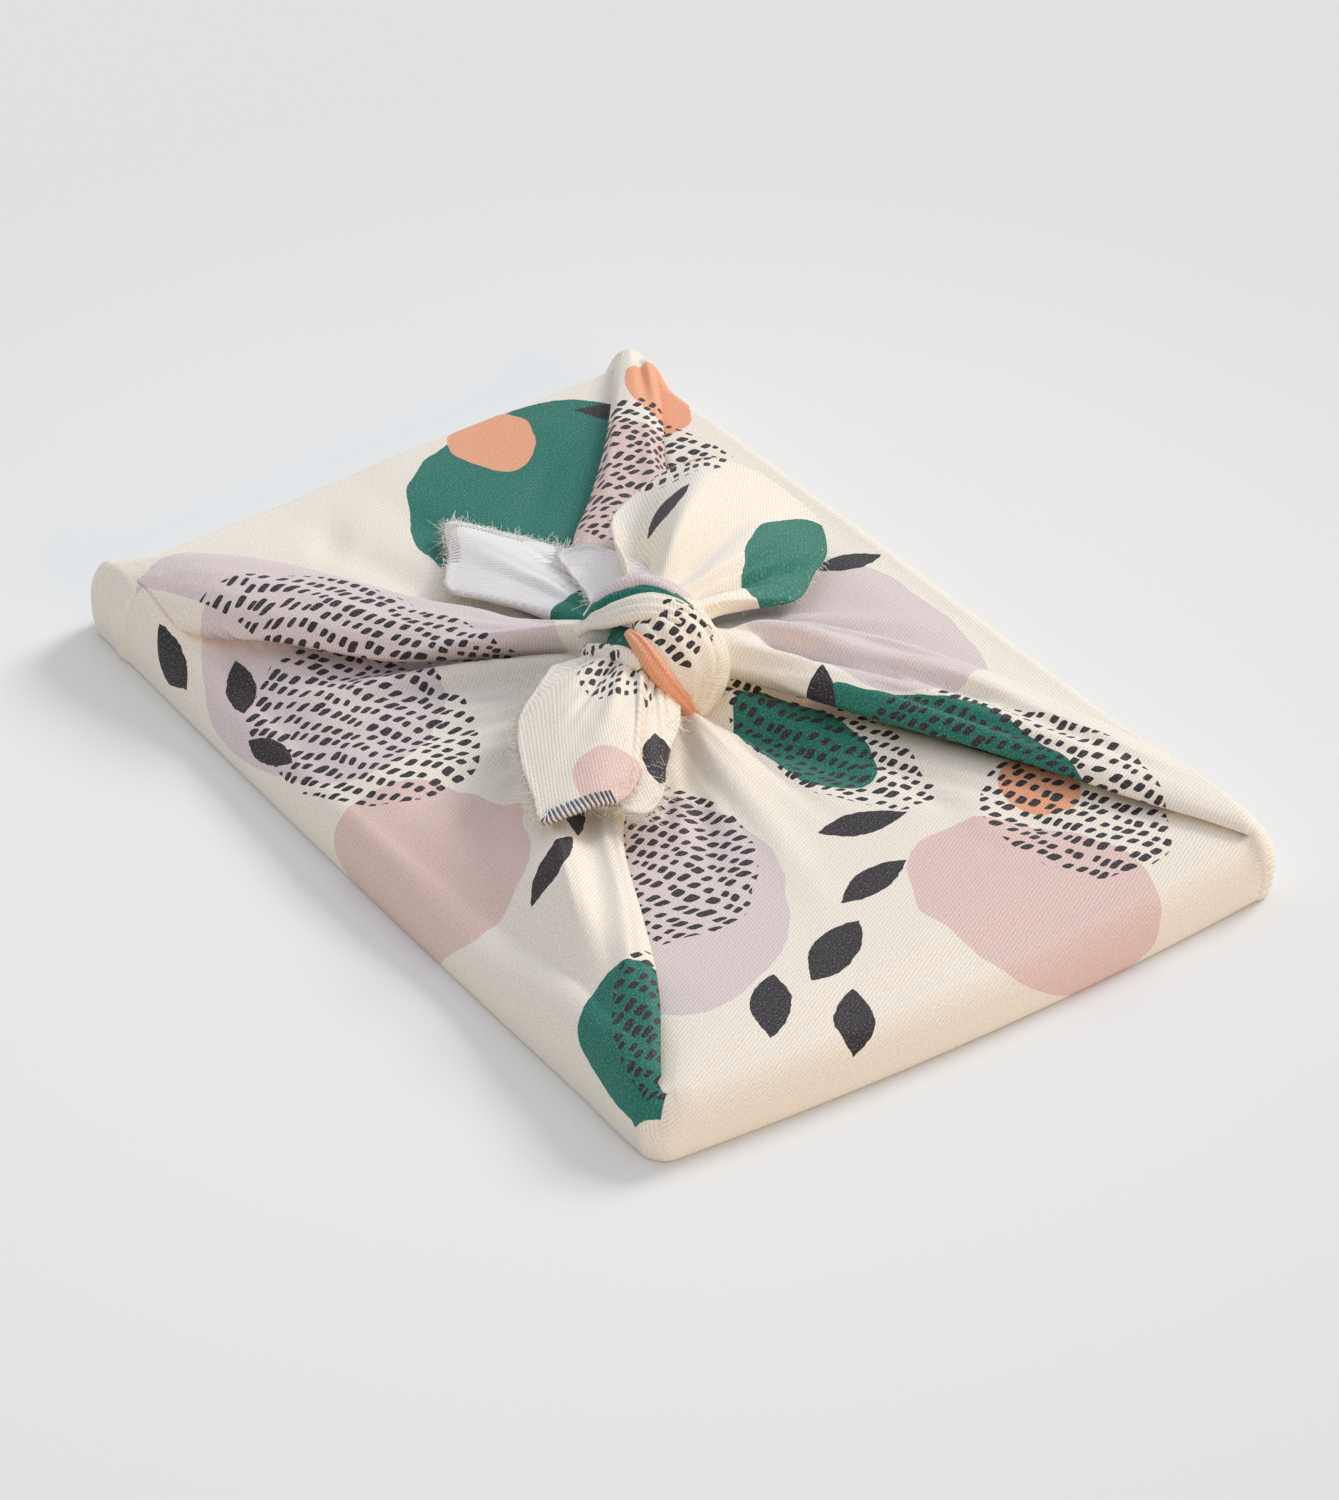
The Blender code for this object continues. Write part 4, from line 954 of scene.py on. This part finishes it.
# Each band has its rows, its pleats, and where its middle line starts on the flat cloth. Each pleat is a line
# along the band: its place across it from -1 to 1, its width on the same scale, and its height.
BANDS = (
    (MAIN_FOLD, ((-0.8, 0.3, -1.0), (-0.4, 0.3, 0.5), (0.0, 0.2, -0.7), (0.62, 0.3, -0.8)), (262, 262)),
    (OUTER_FOLD, ((-0.4, 0.35, -0.9), (0.05, 0.3, 0.4), (0.45, 0.3, -0.8)), (262, 222)),
    (TOP_STRIP, ((-0.6, 0.3, -0.8), (-0.2, 0.25, 0.4), (0.2, 0.3, -0.9), (0.65, 0.3, -0.5)), (222, 262)),
    (GREEN_PLEAT, ((-0.5, 0.4, -0.9), (0.05, 0.4, -0.9), (0.6, 0.35, -0.8)), (-262, 262)),
    (COLLAR, ((-0.5, 0.4, -0.9), (0.0, 0.35, -0.7), (0.5, 0.4, -0.8)), (-222, 222)),
    (INNER_PLEAT, ((-0.4, 0.5, -0.4), (0.2, 0.6, 0.4)), (262, -330)),
    (NECK_ROLL, ((-0.3, 0.7, -0.3),), (222, -222)),
)
BAND_SIDES, BAND_RINGS, BAND_POWER = 56, 84, 0.75
BAND_DROOP, BAND_FADE_IN = 0.8, 0.12
CORE_SIDES, CORE_RINGS, CORE_LATITUDE = 40, 24, 80
CORE_ORIGIN, CORE_SQUEEZE = (-262, 222), 0.5  # where on the flat cloth its inside shows, and how large
CREASE_WAVES = ((5.0, 0.22), (1.9, 0.07))


# %% Lofting the bands
def unit(vectors):
    return vectors / np.linalg.norm(vectors, axis=-1, keepdims=True)


def waves(points, amounts):
    """Small uneven heights at points in millimetres."""
    flat = points.reshape(-1, 3)
    z = [sum(h * noise.noise(Vector(p / w)) for w, h in amounts) for p in flat]
    return np.array(z).reshape(points.shape[:-1])


def lengths_along(points):
    """How far along a path each of its points is."""
    return np.concatenate([[0.0], np.cumsum(np.linalg.norm(np.diff(points, axis=0), axis=1))])


def per_corner(faces, places):
    return [places[i] for face in faces for i in face]


def tube_faces(count, rings):
    """Faces of a closed tube whose points are its rings, one after another, and then its two end points."""
    start, end, faces = count * rings, count * rings + 1, []
    for i in range(rings - 1):
        for j in range(count):
            a, b = i * count + j, i * count + (j + 1) % count
            faces.append((a, b, b + count, a + count))
    for j in range(count):
        faces.append((start, (j + 1) % count, j))
        last = (rings - 1) * count
        faces.append((end, last + j, last + (j + 1) % count))
    return faces


def band_shape(rows, pleats, origin):
    """Points, faces and cloth places of one wound band of the knot."""
    keys = np.arange(len(rows))
    at = np.linspace(0, len(rows) - 1, BAND_RINGS)
    *path, half_width, half_thick = (curve_through(keys, values, at) for values in zip(*rows))
    path, half_width, half_thick = np.stack(path, axis=1), half_width[:, None], half_thick[:, None]
    forward = unit(np.gradient(path, axis=0))
    outward = unit(path - np.array(CORE_CENTRE))
    aside = unit(np.cross(forward, outward))
    outward = np.cross(aside, forward)
    angles = np.linspace(0, 2 * math.pi, BAND_SIDES, endpoint=False)
    across = np.sign(np.cos(angles)) * np.abs(np.cos(angles)) ** BAND_POWER
    up = np.sign(np.sin(angles)) * np.abs(np.sin(angles)) ** BAND_POWER
    pleated = sum(height * fold_line(across - place, width, 0.5) for place, width, height in pleats)
    fade = smooth_step(at / at[-1], 0.0, BAND_FADE_IN)[:, None]
    raised = half_thick * up + pleated * np.clip(up * 2, 0, 1) * fade
    raised = raised - BAND_DROOP * (half_width * across) ** 2 / (2 * CORE_HALF_SIZES[1])
    rings = path[:, None] + aside[:, None] * (half_width * across)[..., None]
    rings = rings + outward[:, None] * raised[..., None]
    rings = rings + outward[:, None] * waves(rings, CREASE_WAVES)[..., None]
    points = np.concatenate([rings.reshape(-1, 3), [path[0] - forward[0], path[-1] + forward[-1]]])
    along = lengths_along(path)
    flat_u, flat_v = np.broadcast_arrays(along[:, None], half_width * across)
    flat = np.stack([flat_u.ravel(), flat_v.ravel()], axis=1)
    flat = np.concatenate([flat, [[0, 0], [along[-1], 0]]]) + origin
    return points, tube_faces(BAND_SIDES, BAND_RINGS), flat


def core_shape():
    """The inside of the knot, which shows only in the depth of its gaps."""
    c, s = math.cos(math.radians(CORE_TURN)), math.sin(math.radians(CORE_TURN))
    lat = np.radians(np.linspace(CORE_LATITUDE, -CORE_LATITUDE, CORE_RINGS))[:, None]
    lon = np.linspace(0, 2 * math.pi, CORE_SIDES, endpoint=False)[None]
    a = CORE_HALF_SIZES[0] * np.cos(lat) * np.cos(lon)
    b = CORE_HALF_SIZES[1] * np.cos(lat) * np.sin(lon)
    z = CORE_HALF_SIZES[2] * np.sin(lat) + 0 * lon
    points = np.stack([a * c - b * s, a * s + b * c, z], axis=-1).reshape(-1, 3) + CORE_CENTRE
    top_z, low_z = CORE_CENTRE[2] + CORE_HALF_SIZES[2], CORE_CENTRE[2] - CORE_HALF_SIZES[2]
    points = np.concatenate([points, [(0, 0, top_z), (0, 0, low_z)]])
    flat = points[:, :2] * CORE_SQUEEZE + CORE_ORIGIN
    return points, tube_faces(CORE_SIDES, CORE_RINGS), flat


points, faces, flat = core_shape()
all_faces, flat_map = list(faces), per_corner(faces, flat)
for row in BANDS:
    more, faces, flat = band_shape(*row)
    all_faces += [tuple(i + len(points) for i in face) for face in faces]
    flat_map += per_corner(faces, flat)
    points = np.concatenate([points, more])
knot = mesh_piece("knot", points, all_faces, flat_map, sateen)
print("knot:", len(all_faces), "faces, top at", round(points[:, 2].max(), 1), "mm")

# %% [markdown]
# ## The free ends
# Past the knot the corners of the cloth spread like leaves, one thickness of cloth each. Each leaf runs
# from a short gathered neck to its rim, and small pleats fan out from the neck and fade. It is a thin closed
# sheet, 0.7 mm thick with the weave's loft, and a little thicker where the rim is hemmed.

# %% Tables of the ends
FRONT_NECK = ((-6, -12, 34), (1, -12.5, 37.5), (7, -11, 38), (12, -8, 36))
FRONT_RIM = (
    (-9, -26, 33), (-1, -37, 34), (6, -46, 34), (20, -55, 33), (34, -60.5, 32), (41.5, -63, 31),
    (44.5, -57, 32.5), (46, -50, 33), (46.5, -43, 31.5), (42, -35, 31), (31, -26, 31.5), (23, -19, 32.5),
    (17, -13, 34),
)
UNDER_NECK = ((5, -10, 33), (8, -8, 34), (12, -6, 34), (13, -4, 31))
UNDER_RIM = (
    (22, -38, 30), (40, -50, 29.5), (46, -44, 29), (51, -39, 28.5), (49, -33, 28.5), (40, -25, 29.5),
    (33, -18.5, 29), (27, -12, 29), (18, -5, 28),
)
BACK_NECK = ((-16, 4, 39), (-10, 6, 42), (-3, 10, 41), (1, 12, 37))
BACK_RIM = (
    (-31, 10, 40), (-42, 16, 39), (-51, 22, 38), (-57, 36, 39), (-56, 48, 42), (-53, 53, 43),
    (-47, 62, 41), (-36, 70, 34), (-28, 74, 28), (-21, 71, 25.5), (-12, 60, 25.5), (-4, 48, 27),
    (-4, 36, 30), (-3, 24, 33),
)
LEFT_NECK = ((-22, -8, 29), (-22, -2, 32), (-20, 2, 34), (-18, 6, 34))
LEFT_RIM = (
    (-34, -8, 26), (-49, -11, 23), (-58, -15, 22), (-67, -20, 21.5), (-81, -11, 21), (-94.5, -2, 21),
    (-87, 4.5, 21), (-76, 9, 22), (-65, 12.5, 23.5), (-52, 15, 26.5), (-33, 16, 31),
)
FLAP_NECK = ((-20, 3, 33), (-17, 7, 36), (-15, 10, 37), (-14, 14, 36))
FLAP_RIM = (
    (-24, -3, 33), (-32, 0, 33), (-44, 3, 31.5), (-55, 7.5, 30), (-49, 12, 33.5), (-37, 14, 37),
    (-23, 16, 38),
)
# A pleat fans from the neck: its place round the leaf at the neck and at the rim, its width as a share round
# it, its height, and how far out it starts and ends.
FRONT_PLEATS = (
    (0.10, 0.12, 0.12, -1.4, 0.0, 0.9),
    (0.28, 0.26, 0.14, 0.9, 0.0, 0.7),
    (0.44, 0.40, 0.10, -1.1, 0.0, 0.7),
    (0.60, 0.56, 0.10, 0.8, 0.0, 0.7),
    (0.80, 0.74, 0.12, 1.6, 0.0, 1.4),
    (0.90, 0.86, 0.07, -1.4, 0.0, 1.1),
)
UNDER_PLEATS = ((0.4, 0.45, 0.2, 0.9, 0.0, 1.1), (0.7, 0.75, 0.12, -0.8, 0.0, 1.0))
BACK_PLEATS = (
    (0.21, 0.19, 0.30, -11.0, 0.05, 1.15),
    (0.05, 0.04, 0.14, 3.0, 0.2, 1.5),
    (0.40, 0.38, 0.14, 3.6, 0.0, 1.35),
    (0.52, 0.50, 0.13, -3.2, 0.0, 1.0),
    (0.62, 0.60, 0.10, 1.6, 0.0, 0.9),
    (0.72, 0.72, 0.11, -2.2, 0.0, 1.1),
    (0.86, 0.86, 0.10, 1.4, 0.0, 1.2),
)
LEFT_PLEATS = (
    (0.2, 0.2, 0.14, -1.2, 0.0, 0.9),
    (0.45, 0.42, 0.12, 0.9, 0.0, 1.2),
    (0.7, 0.62, 0.12, -1.0, 0.0, 1.1),
)
FLAP_PLEATS = ((0.5, 0.5, 0.3, 0.7, 0.0, 1.1),)
# Name, neck, rim, how far the middle bellies up, pleats, and where its neck is on the flat cloth.
ENDS = (
    ("front_end", FRONT_NECK, FRONT_RIM, 3.0, FRONT_PLEATS, (300, -262)),
    ("under_end", UNDER_NECK, UNDER_RIM, 0.5, UNDER_PLEATS, (300, -160)),
    ("back_end", BACK_NECK, BACK_RIM, 3.0, BACK_PLEATS, (-300, 262)),
    ("left_end", LEFT_NECK, LEFT_RIM, 1.0, LEFT_PLEATS, (-300, -262)),
    ("flap_end", FLAP_NECK, FLAP_RIM, 0.5, FLAP_PLEATS, (-200, -262)),
)
CLOTH_THICKNESS, HEM_EXTRA, HEM_WIDTH, HEM_STEP = 0.7, 0.35, 2.4, 0.6
NECK_SPREAD = 1.2  # how much wider the gathered neck's cloth is than the neck, on the flat cloth
NECK_GATHERS, GATHER_HEIGHT, GATHER_REACH, PLEAT_FADE_IN = 4.0, 0.5, 0.24, 0.3
LEAF_OUT, LEAF_ROUND = 60, 132
LEAF_WAVES = ((17.0, 0.7), (6.0, 0.18))


# %% Making the leaves
def through_points(points, share):
    points = np.asarray(points, float)
    keys = lengths_along(points)
    at = share * keys[-1]
    return np.stack([curve_through(keys, points[:, axis], at) for axis in range(3)], axis=1)


def leaf_surface(neck, rim, belly, pleats):
    """The middle surface of a leaf, and the way out of it."""
    share = np.linspace(0, 1, LEAF_ROUND + 1)
    inner, outer = through_points(neck, share), through_points(rim, share)
    out = np.linspace(0, 1, LEAF_OUT + 1)[:, None]
    leaf = inner * (1 - out[..., None]) + outer * out[..., None]
    rise = belly * np.sin(math.pi * out) * (1 - (2 * share - 1) ** 2)
    gathers = np.sin(2 * math.pi * NECK_GATHERS * share) * np.exp(-((out / GATHER_REACH) ** 2))
    rise = rise + GATHER_HEIGHT * gathers
    for at_neck, at_rim, width, height, start, end in pleats:
        at = at_neck + (at_rim - at_neck) * out
        faded = fading(out, start, end, PLEAT_FADE_IN)
        rise = rise + height * fold_line(share - at, width, 0.5) * faded
    leaf[..., 2] += rise + waves(leaf, LEAF_WAVES)
    normal = unit(np.cross(np.gradient(leaf, axis=1), np.gradient(leaf, axis=0)))
    return leaf, normal * np.sign(normal[..., 2].mean())


def leaf_piece(name, neck, rim, belly, pleats, origin):
    """A leaf as a closed sheet, with its middle surface, the way out of it and its area."""
    leaf, normal = leaf_surface(neck, rim, belly, pleats)
    to_rim = np.linalg.norm(leaf - leaf[-1], axis=2)
    half = CLOTH_THICKNESS / 2 + HEM_EXTRA / 2 * (1 - smooth_step(to_rim, HEM_WIDTH - HEM_STEP, HEM_WIDTH))
    rows, cols = leaf.shape[:2]
    upper, lower = leaf + normal * half[..., None], leaf - normal * half[..., None]
    points = np.concatenate([upper.reshape(-1, 3), lower.reshape(-1, 3)])
    under, faces = rows * cols, []
    for i in range(rows - 1):
        for j in range(cols - 1):
            a = i * cols + j
            faces.append((a, a + cols, a + cols + 1, a + 1))
            faces.append((under + a, under + a + 1, under + a + cols + 1, under + a + cols))
    border = list(range(cols)) + [i * cols + cols - 1 for i in range(1, rows)]
    border += [(rows - 1) * cols + j for j in range(cols - 2, -1, -1)]
    border += [i * cols for i in range(rows - 2, 0, -1)]
    for a, b in zip(border, border[1:] + border[:1]):
        faces.append((a, b, under + b, under + a))
    middle = leaf[0].mean(axis=0)[:2]
    way = unit(leaf[-1].mean(axis=0)[:2] - middle)
    off = leaf[..., :2] - middle
    spread = 1 + NECK_SPREAD * (1 - np.linspace(0, 1, rows)[:, None]) ** 2
    local = np.stack([(off[..., 0] * -way[1] + off[..., 1] * way[0]) * spread, off @ way], axis=-1)
    local = local.reshape(-1, 2) + origin
    piece = mesh_piece(name, points, faces, per_corner(faces, np.concatenate([local, local])), sateen)
    steps_out, steps_round = np.diff(leaf, axis=0)[:, :-1], np.diff(leaf, axis=1)[:-1]
    area = np.linalg.norm(np.cross(steps_out, steps_round), axis=2).sum()
    return piece, leaf, normal, area


def face_outward(obj):
    bm = bmesh.new()
    bm.from_mesh(obj.data)
    bmesh.ops.recalc_face_normals(bm, faces=bm.faces)
    bm.to_mesh(obj.data)
    bm.free()


leaves = {}
for row in ENDS:
    piece, leaf, normal, area = leaf_piece(*row)
    leaves[piece.name] = (piece, leaf, normal, area)
    size = leaf.reshape(-1, 3).max(axis=0) - leaf.reshape(-1, 3).min(axis=0)
    print(piece.name, "area", round(area / 100, 1), "square cm, spans", np.round(size, 0))
cloth_pieces = [body, knot, *[entry[0] for entry in leaves.values()]]
for obj in cloth_pieces:
    face_outward(obj)

# %% [markdown]
# ## The stitched hem
# The bottom hem of the front end and part of the left end's edges are overlocked: a white thread wraps the
# raw edge every 1.3 mm, 3.4 mm deep, and on the front end a navy one runs between its turns. Each thread is
# a thin tube wound round the edge, through the cloth.

# %% Threads
THREAD_RADIUS, STITCH_PITCH, STITCH_DEPTH = 0.2, 1.3, 3.4
THREAD_SIDES = 6
EDGE_DEPTH = -0.1  # millimetres in from the edge, so a thread turns round just outside it
THREAD_LIE = 0.6  # how high the thread's middle lies over the cloth, in its own radii


def thread_material(name, colour):
    """Spun thread: dull, with a soft sheen from its loose fibres."""
    constants = {"Base Color": linear(colour), "Roughness": 0.55, "Sheen Weight": 0.3}
    return new_material(name, constants)[0]


def tube(path, radius, sides):
    """Points and faces of a tube with closed ends along a path."""
    forward = unit(np.gradient(path, axis=0))
    aside = unit(np.cross(forward, (0.31, 0.2, 0.93)))
    up = np.cross(aside, forward)
    angles = np.linspace(0, 2 * math.pi, sides, endpoint=False)
    rings = path[:, None] + radius * (
        aside[:, None] * np.cos(angles)[:, None] + up[:, None] * np.sin(angles)[:, None]
    )
    points = np.concatenate([rings.reshape(-1, 3), [path[0], path[-1]]])
    return points, tube_faces(sides, len(path))


def read_along(at, keys, rows):
    """Rows of three numbers, known at the keys, read at other places between them."""
    return np.stack([np.interp(at, keys, rows[:, i]) for i in range(3)], axis=1)


def overlock(leaf, normal, start, end, offset):
    """The path of a thread wound round the rim from one share of it to another."""
    rim = leaf[-1]
    keys = lengths_along(rim)
    at = np.arange(start * keys[-1], end * keys[-1], STITCH_PITCH / 4)
    edge, up = read_along(at, keys, rim), unit(read_along(at, keys, normal[-1]))
    tangent = unit(np.gradient(edge, axis=0))
    inward = np.cross(up, tangent)
    middle = leaf.reshape(-1, 3).mean(axis=0)
    inward *= np.sign(((middle - edge) * inward).sum(axis=1))[:, None]
    phase = (np.arange(len(at)) + offset) % 4
    depth = np.where((phase == 0) | (phase == 3), STITCH_DEPTH, EDGE_DEPTH)
    side = np.where(phase < 2, 1.0, -1.0)
    height = (CLOTH_THICKNESS + HEM_EXTRA) / 2 + THREAD_RADIUS * THREAD_LIE
    return edge + inward * depth[:, None] + up * (side * height)[:, None]


def thread_piece(name, paths, radius, sides, material):
    all_points, faces, count = [], [], 0
    for path in paths:
        points, its_faces = tube(path, radius, sides)
        faces += [tuple(i + count for i in face) for face in its_faces]
        all_points.append(points)
        count += len(points)
    no_print = np.zeros((sum(len(face) for face in faces), 2))
    obj = mesh_piece(name, np.concatenate(all_points), faces, no_print, material)
    face_outward(obj)
    return obj


white_thread = thread_material("white_polyester_thread", "#f3f1ec")
navy_thread = thread_material("navy_polyester_thread", "#2b3352")
# Which end, where the stitches start and stop as shares of its rim, and whether a navy thread runs too.
SEAMS = (("front_end", 0.495, 0.66, True), ("left_end", 0.36, 0.5, False), ("left_end", 0.52, 0.7, False))
white_paths = [overlock(*leaves[name][1:3], start, end, 0) for name, start, end, navy in SEAMS]
navy_paths = [overlock(*leaves[name][1:3], start, end, 2) for name, start, end, navy in SEAMS if navy]
white_stitches = thread_piece("white_stitches", white_paths, THREAD_RADIUS, THREAD_SIDES, white_thread)
navy_stitches = thread_piece("navy_stitches", navy_paths, THREAD_RADIUS, THREAD_SIDES, navy_thread)
white_count, navy_count = (sum(map(len, paths)) // 4 for paths in (white_paths, navy_paths))
print("stitches:", white_count, "white,", navy_count, "navy")

# %% [markdown]
# ### Frayed edges
# The raw edges have frayed. Short loose threads stand out of each rim, most of them within a millimetre or
# two, each one bent its own way. They are thin three-sided tubes, set by a random generator with a fixed
# start.

# %% Loose threads
# Which end, where it frays from and to as shares of its rim, how many threads, and their mean length.
FRAYS = (
    ("front_end", 0.03, 0.48, 900, 1.1),
    ("front_end", 0.66, 0.97, 520, 1.0),
    ("under_end", 0.10, 0.95, 620, 1.2),
    ("left_end", 0.20, 0.98, 1300, 1.3),
    ("flap_end", 0.05, 0.80, 700, 1.2),
    ("back_end", 0.04, 0.96, 500, 0.4),
)
FRAY_RADIUS, FRAY_SIDES, FRAY_POINTS = 0.07, 3, 5
FRAY_BEND, FRAY_LIFT, FRAY_DRIFT = 0.8, 0.48, 0.5  # as shares of a thread's length
FRAY_ROOT, FRAY_LAYER = 0.5, 0.3  # how far inside the rim a thread starts, and how far up or down in it
ROW_BEFORE_RIM = -4
chance = np.random.default_rng(7)


def loose_threads(leaf, normal, start, end, count, length):
    """Paths of the threads that stand out of a rim between two shares of it."""
    rim = leaf[-1]
    keys = np.linspace(0, 1, len(rim))
    at = np.sort(chance.uniform(start, end, count))
    edge, before, up = (read_along(at, keys, rows) for rows in (rim, leaf[ROW_BEFORE_RIM], normal[-1]))
    outward, tangent = unit(edge - before), unit(np.cross(up, edge - before))
    paths = []
    for i in range(count):
        long = length * chance.gamma(3.0, 1 / 3.0)
        bend = chance.normal(0, FRAY_BEND)
        lift = chance.normal(0, FRAY_LIFT)
        drift = chance.normal(0, FRAY_DRIFT)
        f = np.linspace(0, 1, FRAY_POINTS)[:, None]
        root = edge[i] - outward[i] * FRAY_ROOT + up[i] * chance.uniform(-FRAY_LAYER, FRAY_LAYER)
        aside = tangent[i] * (drift * f + bend * f * f) + up[i] * lift * f * f
        paths.append(root + (outward[i] * f + aside) * (long + FRAY_ROOT))
    return paths


loose_cotton = thread_material("loose_cotton_thread", "#f4f1ea")
fray_paths = [path for name, *row in FRAYS for path in loose_threads(*leaves[name][1:3], *row)]
frayed_threads = thread_piece("frayed_threads", fray_paths, FRAY_RADIUS, FRAY_SIDES, loose_cotton)
print("frayed edges:", len(fray_paths), "loose threads")

# %% [markdown]
# ## Attaching the pieces
# Every piece rides on the base, and all but the threads stand in for the one soft solid, whose CAD part is
# hidden. On the real thing the body is filled by the parcel, the knot is packed with its own cloth, and each
# end is a sheet. The flat sizes are rough estimates of the real ends spread out. The part of an end that is
# hidden is a guess, and so is most of under_end and flap_end.

# %% Attaching the pieces and hiding the CAD part
for obj in (*cloth_pieces, white_stitches, navy_stitches, frayed_threads):
    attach(obj, "root")
for obj in cloth_pieces:
    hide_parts("furoshiki_cloth")
